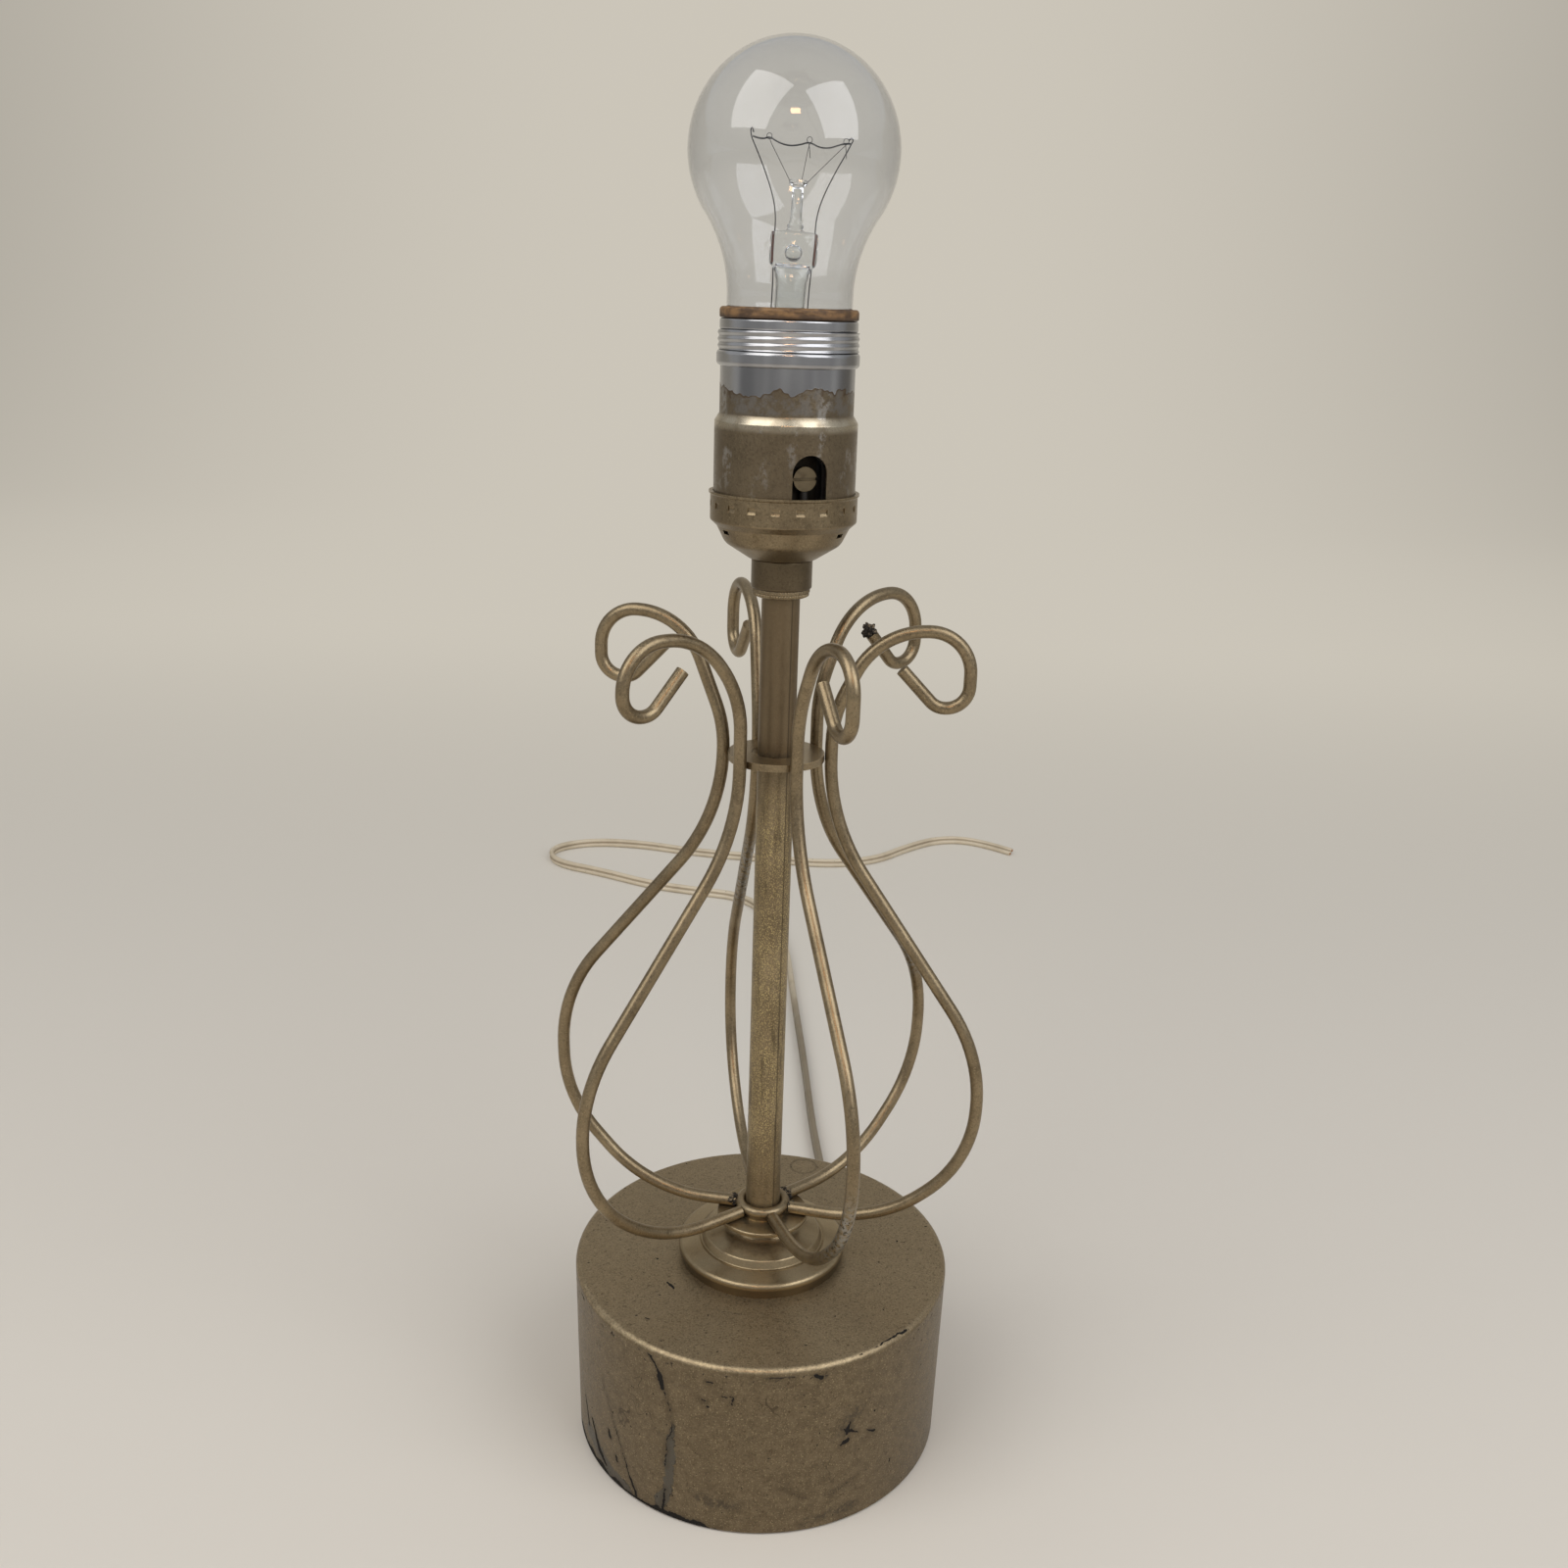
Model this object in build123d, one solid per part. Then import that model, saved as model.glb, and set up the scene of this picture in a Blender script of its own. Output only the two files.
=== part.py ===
from build123d import *
from math import cos, pi, radians, sin, tan
import os

# Table lamp: a drum base, a pipe stem in a cage of six scroll wires, a keyless shell socket and a bulb.
# Millimetres, +Z up. The origin is on the table under the stem, and the front is -Y.

os.makedirs("parts", exist_ok=True)

# Clearances
slip = 0.1
running_clearance = 0.3
sheet_fit = 0.15
bend_room = 0.98
cord_bend_share = 0.45

# Drum base
drum_top_radius = 56.5
drum_foot_radius = 55.4
drum_top = 56.2
drum_lift = 0.6
drum_wall = 1.2
drum_edge = 1.8
felt_thickness = 2.0
board_thickness = 1.4
weight_thickness = 18.0
weight_gap = 0.4
washer_radius = 12.0
washer_thickness = 1.5
nut_flats = 15.9
nut_height = 4.5

# Cord exit in the back of the drum
cord_diameter = 5.2
exit_azimuth = 162.0
exit_run = 15.0
grommet_radius = 5.5
grommet_neck = 4.0
grommet_flange = 2.0
grommet_seat = 0.15
inner_bend = 17.0

# Stem pipe
pipe_radius = 5.15
pipe_bore = 3.4
pipe_tail = 4.0

# Spun flange on the drum
flange_radius = 25.4
flange_foot_radius = 24.8
flange_rim = 4.4
flange_rim_round = 1.3
flange_shelf_radius = 19.3
flange_shelf_rise = 1.0
flange_groove_radius = 18.3
flange_groove = 0.35
flange_step_radius = 17.4
flange_step_rise = 2.1
flange_cone_radius = 10.8
flange_cone_rise = 2.1
flange_neck_radius = 8.8
flange_neck_rise = 3.1
flange_sheet = 0.8
flange_edge = 0.7
flange_bell = 3.0

# Seating cup, lower ring and upper ring of the cage
cup_radius = 13.7
cup_thickness = 1.5
cup_edge = 0.5
cup_boss = 1.3
lower_ring_wire = 1.45
collar_radius = 13.35
collar_hole = 6.8
collar_thickness = 2.0
collar_rise = 143.0

# Scroll wires: reach from the stem's axis and rise above the foot
wire_radius = 1.8
toe_reach = 35.5
heel_reach = 61.5
heel_rise = 23.2
belly_reach = 62.5
belly_rise = 57.7
waist_rise = 123.2
throat_rise = 160.7
brow_reach = 27.0
curl_rise = 180.0
curl_reach = 51.9
chin_rise = 158.5
chin_reach = 43.0
tip_reach = 33.2
tip_rise = 168.9
wire_bends = [42.0, 40.0, 47.0, 56.0, 34.0, 22.0, 12.0, 6.2, 5.5]

# Hand bending: each wire's azimuths from the front at belly, waist and curl, and how its bends stray
hand_bends = [
    dict(belly=22, waist=21.5, curl=22.5,
         belly_lift=3.5, throat_lift=-3.6, curl_lift=-0.7, curl_shift=-3.8, chin_lift=0.7),
    dict(belly=77.5, waist=90.5, curl=90,
         belly_lift=0.5, throat_lift=-6.7, curl_lift=-2.1, curl_shift=0.3, chin_lift=0.4),
    dict(belly=129.5, waist=132.5, curl=132,
         belly_lift=3.7, throat_lift=-3.5, curl_lift=3.1, curl_shift=1.5, chin_lift=0.4),
    dict(belly=192, waist=200.5, curl=196,
         belly_lift=1.2, throat_lift=-13, curl_lift=2.5, curl_shift=-0.4, chin_lift=0.5),
    dict(belly=261, waist=256, curl=256.5,
         belly_lift=6.4, throat_lift=-11.3, curl_lift=-0.2, curl_shift=-0.9, chin_lift=2.3),
    dict(belly=307, waist=320.5, curl=310,
         belly_lift=-1.8, throat_lift=0.7, curl_lift=-1.7, curl_shift=-0.9, chin_lift=2.6),
]

# Lock nut and hub under the socket
stem_height = 258.7
locknut_radius = 7.7
locknut_height = 2.3
knurl_depth = 0.35
knurl_teeth = 40
hub_radius = 8.15
hub_height = 8.0
hub_edge = 0.6
hub_spigot = 6.7
hub_lip_radius = 8.0
hub_lip = 1.2

# Socket cap
cap_sheet = 0.6
cap_floor_radius = 9.0
cap_bowl_radius = 15.4
cap_bowl_rise = 4.0
cap_step_radius = 17.6
cap_step_rise = 8.4
cap_radius = 19.35
cap_band_rise = 10.0
cap_height = 17.4
cap_lip = 0.4
cap_lip_height = 0.9
dimple_count = 19
dimple_start = -6.0
dimple_width = 2.2
dimple_height = 1.9
dimple_depth = 0.35
dimple_drop = 3.3
pry_slot_width = 2.8
pry_slot_height = 1.1
pry_slot_azimuths = [60, 120, 240, 300]

# Socket shell, measured up from its lower edge
shell_sheet = 0.6
shell_shoulder = 24.6
shell_neck_radius = 17.35
shell_neck_base = 26.5
shell_bead_proud = 0.25
shell_bead_base = 38.2
shell_bead_height = 4.0
shell_bead_round = 1.1
shell_thread_pitch = 1.6
shell_thread_turns = 3
shell_thread_depth = 0.3
shell_thread_mean = 17.95
shell_mouth = 2.8
shell_mouth_round = 0.6

# Key notch in the shell and its liner
notch_azimuth = 20.5
notch_width = 9.2
notch_rise = 17.6

# Fibre liner
liner_sheet = 0.7
liner_drop = 46.5
liner_lip_radius = 17.7
liner_lip = 2.7
liner_lip_round = 0.9
liner_bevel = 0.6

# Socket body, straps and terminal screws
body_radius = 15.2
body_height = 27.4
body_cavity = 12.6
body_floor = 19.0
terminal_depth = 12.0
terminal_width = 10.0
terminal_slot_drop = 5.0
strap_sheet = 0.8
strap_width = 7.6
strap_margin = 0.6
strap_length = 12.5
screw_drop = 10.9
screw_head_radius = 3.1
screw_head = 2.0
screw_shank = 1.6
screw_length = 4.0
screw_slot = 0.8
screw_slot_turn = 2.0
lead_diameter = 2.2
lead_spacing = 2.6
lead_bend = 3.0
lead_rise = 6.0
lead_sweep = 4.0

# Screw shell and centre contact
thread_pitch = 3.629
thread_depth = 0.8
thread_steps = 12
screw_shell_sheet = 0.6
collar_gap = 0.6
screw_shell_hole = 7.5
contact_width = 5.0
contact_sheet = 0.4
contact_arch = 0.55
contact_length = 10.0

# Bulb
bulb_thread_mean = 12.6
bulb_thread_turns = 4
bulb_cap_bore = 11.6
bulb_collar_radius = 13.1
bulb_collar_height = 4.3
tip_gap = 0.2
tip_radius = 4.7
tip_height = 1.2
tip_round = 0.6
insulator_cone = 4.8
insulator_plug = 2.5
glass_wall = 0.6
glass_radius = 26.3
glass_neck_radius = 16.0
glass_neck_rise = 7.0
glass_centre_rise = 40.9
glass_root = 12.0
glass_lip = 1.2
glass_shoulder = 4.2
mount_lean = 2.6
mount_pivot_rise = 6.0
mount_flare = 9.4
mount_tube = 4.0
mount_tube_wall = 0.9
pinch_width = 9.6
pinch_depth = 3.0
pinch_height = 7.9
pinch_rise = 15.5
rod_radius = 1.4
rod_height = 9.6
button_radius = 2.4
button_height = 1.6
filament_wire = 0.45
filament_half = 12.0
filament_rise = 43.7
filament_bow = 3.0
filament_middle_bow = 3.8
filament_sag = 0.9
support_wire = 0.18
support_root_share = 0.12
support_knee_share = 0.8
support_bend = 1.0
bulb_lead_wire = 0.3

# Heights worked up from the table
drum_inside_top = drum_top - drum_wall
exit_height = felt_thickness + board_thickness + grommet_radius + slip
weight_base = drum_inside_top - weight_thickness
washer_base = weight_base - washer_thickness
nut_base = washer_base - nut_height
flange_rim_top = drum_top + flange_rim
flange_shelf_top = flange_rim_top + flange_shelf_rise
flange_step_top = flange_shelf_top + flange_step_rise
flange_cone_top = flange_step_top + flange_cone_rise
flange_top = flange_cone_top + flange_neck_rise
cup_top = flange_top + cup_thickness
foot_height = cup_top + slip + wire_radius
ring_height = cup_top + cup_boss + lower_ring_wire
collar_top = foot_height + collar_rise
hub_base = stem_height + locknut_height
cap_base = hub_base + hub_height
hub_top = cap_base + cap_sheet + slip + hub_lip
pipe_top = hub_top
cord_top = pipe_top + slip
shell_base = cap_base + cap_band_rise + cap_sheet + slip
shell_radius = cap_radius - cap_sheet - sheet_fit
bead_top = shell_base + shell_bead_base + shell_bead_height
shell_thread_top = bead_top + shell_thread_pitch * shell_thread_turns
shell_top = shell_thread_top + shell_mouth
shell_mouth_radius = shell_thread_mean - shell_thread_depth / 2 - sheet_fit
shell_bead_radius = shell_thread_mean + shell_thread_depth / 2 + shell_bead_proud
bowl_slope = (cap_step_rise - cap_bowl_rise) / (cap_step_radius - cap_bowl_radius)
body_seat_rise = (body_radius + slip + cap_sheet - cap_bowl_radius) * bowl_slope
body_base = cap_base + cap_bowl_rise + cap_sheet + body_seat_rise
body_top = body_base + body_height
cavity_top = body_top - body_floor
screw_height = body_top - screw_drop
contact_top = body_top + slip + contact_sheet + contact_arch
tip_base = contact_top + tip_gap
insulator_base = tip_base + tip_height
bulb_thread_base = insulator_base + insulator_cone
bulb_thread_top = bulb_thread_base + thread_pitch * bulb_thread_turns
screw_shell_base = body_top + screw_shell_sheet
screw_shell_height = bulb_thread_top - collar_gap - screw_shell_base
bulb_cap_top = bulb_thread_top + bulb_collar_height
glass_centre = bulb_cap_top + glass_centre_rise

# Radii that follow from the pieces they fit
pipe_clear = pipe_radius + slip
drum_slope = (drum_top_radius - drum_foot_radius) / (drum_top - drum_lift)
drum_inside = drum_foot_radius - drum_wall
board_radius = drum_inside + drum_slope * (felt_thickness - drum_lift) - slip
weight_flare = min(drum_slope * (weight_base - drum_lift), drum_slope * (drum_inside_top - drum_lift))
weight_radius = drum_inside + weight_flare - weight_gap
grommet_rise = abs(drum_slope) * grommet_radius
waist_reach = collar_radius + slip + wire_radius
foot_reach = pipe_clear + 2 * lower_ring_wire + slip
liner_outside = shell_neck_radius - shell_sheet - sheet_fit
liner_inside = liner_outside - liner_sheet
socket_thread_mean = bulb_thread_mean + running_clearance
screw_shell_outside = socket_thread_mean + thread_depth / 2 + screw_shell_sheet
strap_face = terminal_depth + slip / 2 + strap_sheet
glass_root_radius = bulb_cap_bore - 2 * slip

# The mount and its wires lean a little in the bulb
mount_pivot = bulb_cap_top + mount_pivot_rise
leaning = Pos(0, 0, mount_pivot) * Rot(0, mount_lean, 0) * Pos(0, 0, -mount_pivot)


def at(radius, azimuth, height):
    """A point at a radius from the stem's axis, an azimuth from the front and a height."""
    return Vector(radius * sin(radians(azimuth)), -radius * cos(radians(azimuth)), height)


def facing(radius, azimuth, height):
    """A plane that looks outward at a point, with X along the wall and Y up."""
    return Plane(origin=at(radius, azimuth, height), x_dir=at(1, azimuth + 90, 0), z_dir=at(1, azimuth, 0))


def outline(corners):
    """A closed wire in the XZ plane through (radius, height, rounding) corners."""
    points = [Vector(corner[0], 0, corner[1]) for corner in corners]
    roundings = [corner[2] if len(corner) == 3 else 0 for corner in corners]
    arrivals, departures, arcs = [], [], []
    for index, point in enumerate(points):
        back = (points[index - 1] - point).normalized()
        ahead = (points[(index + 1) % len(points)] - point).normalized()
        half = radians(back.get_angle(ahead)) / 2
        reach = roundings[index] / tan(half)
        arrivals.append(point + back * reach)
        departures.append(point + ahead * reach)
        if roundings[index]:
            crown = point + (back + ahead).normalized() * (roundings[index] / sin(half) - roundings[index])
            arcs.append(ThreePointArc(arrivals[-1], crown, departures[-1]))
    lines = [Line(departures[index - 1], arrivals[index]) for index in range(len(points))]
    return Wire(lines + arcs)


def turned(corners):
    """A solid of revolution about the stem's axis."""
    return revolve(Face(outline(corners)), Axis.Z)


def turn_at(before, corner, after):
    """The angle in degrees by which a path turns at a corner."""
    return (corner - before).get_angle(after - corner)


def fitted_bends(points, radii):
    """The bend radii, each limited so that neighbouring bends fit in the run between them."""
    reaches = [0.0]
    for index, radius in enumerate(radii):
        turn = turn_at(points[index], points[index + 1], points[index + 2])
        reaches.append(radius * tan(radians(turn) / 2))
    reaches.append(0.0)
    shares = [1.0] * len(points)
    for index in range(len(points) - 1):
        run = (points[index + 1] - points[index]).length
        share = bend_room * run / (reaches[index] + reaches[index + 1])
        shares[index] = min(shares[index], share)
        shares[index + 1] = min(shares[index + 1], share)
    return [radius * share for radius, share in zip(radii, shares[1:-1])]


def rod(points, radii, radius):
    """A round rod along straight runs joined by tangent arcs."""
    path = FilletPolyline(*points, radius=fitted_bends(points, radii))
    return sweep(Plane(origin=path @ 0, z_dir=path % 0) * Circle(radius), path=path)


def thread(mean_radius, depth, pitch, base, height):
    """A right-hand thread: circles lofted up a fine helix, once round in each pitch."""
    count = round(thread_steps * height / pitch)
    circles = []
    for step in range(count + 1):
        level = base + height * step / count
        centre = at(depth / 2, 360 * level / pitch, level)
        circles.append(Wire(Edge.make_circle(mean_radius, Plane(origin=centre))))
    return Solid.make_loft(circles, ruled=True)


def disc(radius, base, height, bore=0):
    """A plain turned disc or ring standing on a height."""
    shape = Pos(0, 0, base) * Cylinder(radius, height, align=(Align.CENTER, Align.CENTER, Align.MIN))
    if bore:
        shape -= Pos(0, 0, base) * Cylinder(bore, height, align=(Align.CENTER, Align.CENTER, Align.MIN))
    return shape


def stud(radius, length):
    """A cylinder that stands on its own plane."""
    return Cylinder(radius, length, align=(Align.CENTER, Align.CENTER, Align.MIN))


def block(width, height, depth):
    """A box that stands on its own plane."""
    return Box(width, height, depth, align=(Align.CENTER, Align.CENTER, Align.MIN))


def drum_radius_at(height):
    return drum_foot_radius + drum_slope * (height - drum_lift)


def make_drum():
    shape = turned([
        (drum_foot_radius, drum_lift),
        (drum_top_radius, drum_top, drum_edge),
        (pipe_clear, drum_top),
        (pipe_clear, drum_inside_top),
        (drum_top_radius - drum_wall, drum_inside_top, drum_edge - drum_wall),
        (drum_inside, drum_lift),
    ])
    hole = facing(drum_inside - grommet_radius, exit_azimuth, exit_height)
    return shape - hole * stud(grommet_neck + slip, 2 * grommet_radius)


def make_grommet():
    sagitta = grommet_radius**2 / (2 * drum_inside)
    outer = drum_radius_at(exit_height) + grommet_rise + grommet_seat
    inner = drum_radius_at(exit_height) - drum_wall - grommet_rise - sagitta - slip
    shape = facing(outer, exit_azimuth, exit_height) * stud(grommet_radius, grommet_flange)
    shape += facing(inner, exit_azimuth, exit_height) * stud(grommet_neck, outer - inner)
    shape += facing(inner - grommet_flange, exit_azimuth, exit_height) * stud(grommet_radius, grommet_flange)
    bore_start = facing(inner - 2 * grommet_flange, exit_azimuth, exit_height)
    return shape - bore_start * stud(cord_diameter / 2 + slip, outer - inner + 4 * grommet_flange)


def make_hex_nut():
    nut = extrude(Pos(0, 0, nut_base) * RegularPolygon(nut_flats / 2, 6, major_radius=False), nut_height)
    return nut - disc(pipe_clear, nut_base, nut_height)


def make_flange():
    sheet = flange_sheet
    return turned([
        (flange_foot_radius, drum_top),
        (flange_radius, flange_rim_top, flange_rim_round),
        (flange_shelf_radius, flange_shelf_top, flange_edge),
        (flange_groove_radius, flange_shelf_top - flange_groove, flange_edge / 2),
        (flange_step_radius, flange_step_top, flange_edge),
        (flange_cone_radius, flange_cone_top, flange_bell),
        (flange_neck_radius, flange_top, flange_edge),
        (pipe_clear, flange_top),
        (pipe_clear, flange_top - sheet),
        (flange_neck_radius - sheet, flange_top - sheet),
        (flange_cone_radius - sheet, flange_cone_top - sheet),
        (flange_step_radius - sheet, flange_step_top - sheet),
        (flange_shelf_radius - sheet, flange_shelf_top - sheet),
        (flange_radius - sheet, flange_rim_top - sheet),
        (flange_foot_radius - sheet, drum_top),
    ])


def make_seating_cup():
    boss = pipe_clear + lower_ring_wire + cup_edge
    return turned([
        (pipe_clear, flange_top),
        (cup_radius, flange_top, cup_edge),
        (cup_radius, cup_top, cup_edge),
        (boss, cup_top),
        (boss, cup_top + cup_boss),
        (pipe_clear, cup_top + cup_boss),
    ])


def make_scroll_wire(belly, waist, curl, belly_lift, throat_lift, curl_lift, curl_shift, chin_lift):
    heel_height = foot_height + heel_rise + belly_lift
    belly_height = foot_height + belly_rise + belly_lift
    throat_height = foot_height + throat_rise + throat_lift
    curl_height = foot_height + curl_rise + curl_lift
    chin_height = foot_height + chin_rise + curl_lift + chin_lift
    tip_height = foot_height + tip_rise + curl_lift + chin_lift
    points = [
        at(foot_reach, belly, foot_height),
        at(toe_reach, belly, foot_height),
        at(heel_reach, belly, heel_height),
        at(belly_reach, belly, belly_height),
        at(waist_reach, waist, foot_height + waist_rise),
        at(waist_reach, waist, throat_height),
        at(brow_reach, curl, curl_height),
        at(curl_reach + curl_shift, curl, curl_height),
        at(curl_reach + curl_shift, curl, chin_height),
        at(chin_reach + curl_shift, curl, chin_height),
        at(tip_reach + curl_shift, curl, tip_height),
    ]
    return rod(points, wire_bends, wire_radius)


def make_locknut():
    corners = []
    for tooth in range(2 * knurl_teeth):
        reach = locknut_radius - knurl_depth * (tooth % 2)
        corners.append(at(reach, 180 * tooth / knurl_teeth, stem_height))
    nut = extrude(make_face(Polyline(*corners, close=True)), locknut_height, dir=(0, 0, 1))
    return nut - disc(pipe_clear, stem_height, locknut_height)


def make_hub():
    return turned([
        (pipe_clear, hub_base),
        (hub_radius, hub_base, hub_edge),
        (hub_radius, cap_base, hub_edge),
        (hub_spigot, cap_base),
        (hub_spigot, cap_base + cap_sheet + slip),
        (hub_lip_radius, cap_base + cap_sheet + slip),
        (hub_lip_radius, hub_top),
        (pipe_clear, hub_top),
    ])


def make_socket_cap():
    lip_base = cap_base + cap_height - cap_lip_height
    shape = turned([
        (hub_spigot + slip, cap_base),
        (cap_floor_radius, cap_base, cap_sheet),
        (cap_bowl_radius, cap_base + cap_bowl_rise, cap_bowl_rise),
        (cap_step_radius, cap_base + cap_step_rise, cap_sheet),
        (cap_radius, cap_base + cap_band_rise, cap_sheet),
        (cap_radius, lip_base),
        (cap_radius + cap_lip, lip_base + cap_lip),
        (cap_radius + cap_lip, cap_base + cap_height),
        (cap_radius - cap_sheet, cap_base + cap_height),
        (cap_radius - cap_sheet, cap_base + cap_band_rise + cap_sheet),
        (cap_step_radius - cap_sheet, cap_base + cap_step_rise + cap_sheet),
        (cap_bowl_radius - cap_sheet, cap_base + cap_bowl_rise + cap_sheet),
        (cap_floor_radius, cap_base + cap_sheet),
        (hub_spigot + slip, cap_base + cap_sheet),
    ])
    dimple_middle = cap_base + cap_height - dimple_drop
    dent_radius = (dimple_height**2 / 4 + dimple_depth**2) / (2 * dimple_depth)
    dent = Cylinder(dent_radius, dimple_width, rotation=(0, 90, 0))
    for index in range(dimple_count):
        azimuth = dimple_start + 360 * index / dimple_count
        shape -= facing(cap_radius - dimple_depth + dent_radius, azimuth, dimple_middle) * dent
    for azimuth in pry_slot_azimuths:
        cutter = facing(cap_bowl_radius, azimuth, cap_base + cap_step_rise - pry_slot_height)
        shape -= cutter * block(pry_slot_width, pry_slot_height, cap_radius - cap_bowl_radius)
    return shape


def notch_cutter(width):
    """The key notch: a slot with a round top, open at the lower edge of the shell."""
    height = notch_rise - width / 2
    start = facing(body_radius, notch_azimuth, shell_base + height)
    reach = cap_radius + cap_sheet - body_radius
    slot = start * stud(width / 2, reach)
    return slot + start * Pos(0, -height / 2 - slip, 0) * block(width, height + 2 * slip, reach)


def make_socket_shell():
    shoulder = shell_base + shell_shoulder
    neck = shell_base + shell_neck_base
    bead = shell_base + shell_bead_base
    inside = shell_neck_radius - shell_sheet
    lower = turned([
        (shell_radius, shell_base),
        (shell_radius, shoulder, shell_sheet),
        (shell_neck_radius, neck, shell_sheet),
        (shell_neck_radius, bead),
        (shell_bead_radius, bead + shell_sheet / 2, shell_bead_round),
        (shell_bead_radius, bead_top, shell_bead_round),
        (inside, bead_top),
        (inside, neck - shell_sheet),
        (shell_radius - shell_sheet, shoulder - shell_sheet),
        (shell_radius - shell_sheet, shell_base),
    ])
    height = shell_thread_top - bead_top
    threads = thread(shell_thread_mean, shell_thread_depth, shell_thread_pitch, bead_top, height)
    threads -= disc(inside, bead_top, height)
    mouth = turned([
        (inside, shell_thread_top),
        (shell_mouth_radius, shell_thread_top, shell_mouth_round),
        (shell_mouth_radius, shell_top, shell_mouth_round),
        (inside, shell_top),
    ])
    return lower + threads + mouth - notch_cutter(notch_width)


def make_liner():
    lip_base = shell_top + slip
    top = lip_base + liner_lip
    shape = turned([
        (liner_outside, shell_top - liner_drop),
        (liner_outside, lip_base),
        (liner_lip_radius, lip_base, liner_lip_round / 2),
        (liner_lip_radius, top, liner_lip_round),
        (liner_inside + liner_bevel, top),
        (liner_inside, top - 2 * liner_bevel),
        (liner_inside, shell_top - liner_drop),
    ])
    return shape - notch_cutter(notch_width - liner_sheet)


def make_socket_body():
    shape = disc(body_radius, body_base, body_top - body_base)
    shape -= disc(body_cavity, body_base, cavity_top - body_base)
    slot_height = body_top - terminal_slot_drop - body_base
    slot_middle = body_base + slot_height / 2
    for azimuth in (notch_azimuth, notch_azimuth + 180):
        slot = facing(terminal_depth, azimuth, slot_middle)
        shape -= slot * block(terminal_width, slot_height, body_radius)
        hole = facing(strap_face - screw_length - slip, azimuth, screw_height)
        shape -= hole * stud(screw_shank + slip, body_radius)
    return shape


def make_strap(azimuth):
    middle = body_top - terminal_slot_drop - strap_margin - strap_length / 2
    plate = facing(strap_face - strap_sheet, azimuth, middle) * block(strap_width, strap_length, strap_sheet)
    return plate - facing(terminal_depth, azimuth, screw_height) * stud(screw_shank + slip, body_radius)


def make_terminal_screw(azimuth):
    head_base = strap_face + slip / 2
    shape = facing(head_base, azimuth, screw_height) * stud(screw_head_radius, screw_head)
    shape += facing(head_base - screw_length, azimuth, screw_height) * stud(screw_shank, screw_length)
    slot = facing(head_base + screw_head - screw_slot, azimuth, screw_height)
    return shape - slot * Rot(0, 0, screw_slot_turn) * block(3 * screw_head_radius, screw_slot, screw_head)


def make_lead(azimuth):
    reach = strap_face + slip + lead_diameter / 2
    end = screw_height - screw_head_radius - slip
    points = [
        at(lead_spacing / 2, azimuth, cord_top),
        at(lead_spacing / 2, azimuth, cord_top + lead_rise),
        at(reach, azimuth, cord_top + lead_rise + lead_sweep),
        at(reach, azimuth, end),
    ]
    return rod(points, [lead_bend, lead_bend], lead_diameter / 2)


def make_screw_shell():
    shape = disc(screw_shell_outside, screw_shell_base, screw_shell_height)
    shape -= thread(socket_thread_mean, thread_depth, thread_pitch, screw_shell_base, screw_shell_height)
    return shape + disc(screw_shell_outside, body_top, screw_shell_sheet, screw_shell_hole)


def make_centre_contact():
    seat = body_top + slip
    half = contact_length / 2
    leaf = Face(outline([
        (-half, seat),
        (-half + contact_sheet, seat),
        (-half / 2, seat + contact_arch),
        (half, seat + contact_arch),
        (half, contact_top),
        (-half / 2, contact_top),
        (-half + contact_sheet, seat + contact_sheet),
        (-half, seat + contact_sheet),
    ]))
    return extrude(leaf, contact_width / 2, dir=(0, 1, 0), both=True)


def make_bulb_contact():
    return turned([
        (0, tip_base),
        (tip_radius - tip_round, tip_base, tip_round),
        (tip_radius, insulator_base),
        (0, insulator_base),
    ])


def make_bulb_insulator():
    plug = bulb_cap_bore - 2 * slip
    plug_top = bulb_thread_base + insulator_plug
    return turned([
        (0, insulator_base),
        (tip_radius + slip, insulator_base),
        (plug, bulb_thread_base),
        (plug, plug_top),
        (0, plug_top),
    ])


def make_bulb_cap():
    height = bulb_thread_top - bulb_thread_base
    shape = Part() + thread(bulb_thread_mean, thread_depth, thread_pitch, bulb_thread_base, height)
    shape += disc(bulb_collar_radius, bulb_thread_top, bulb_collar_height)
    return shape - disc(bulb_cap_bore, bulb_thread_base, height + bulb_collar_height)


def glass_profile(inset):
    """One side of the bulb's wall from its crown to its root, set in by a wall's thickness."""
    ball = glass_radius - inset
    neck = glass_neck_radius - inset
    neck_height = bulb_cap_top + glass_neck_rise
    drop = glass_centre - neck_height
    sweep_radius = (glass_neck_radius**2 + drop**2 - glass_radius**2) / 2
    sweep_radius = sweep_radius / (glass_radius - glass_neck_radius) + inset
    pivot = Vector(neck + sweep_radius, 0, neck_height)
    centre = Vector(0, 0, glass_centre)
    meeting = centre + (pivot - centre).normalized() * ball
    crown = centre + Vector(0, 0, ball)
    side = centre + Vector(ball, 0, ball).normalized() * ball
    waist = (meeting + Vector(neck, 0, neck_height)) / 2
    waist = pivot + (waist - pivot).normalized() * sweep_radius
    shoulder = Vector(neck, 0, bulb_cap_top + glass_shoulder)
    lip = Vector(glass_root_radius - inset, 0, bulb_cap_top + glass_lip)
    root = Vector(glass_root_radius - inset, 0, bulb_cap_top - glass_root)
    bell = (shoulder + lip) / 2 + Vector(glass_lip, 0, -glass_lip) / 3
    edges = [
        ThreePointArc(crown, side, meeting),
        ThreePointArc(meeting, waist, Vector(neck, 0, neck_height)),
        Line((neck, 0, neck_height), shoulder),
        ThreePointArc(shoulder, bell, lip),
        Line(lip, root),
    ]
    return edges, crown, root


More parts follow.
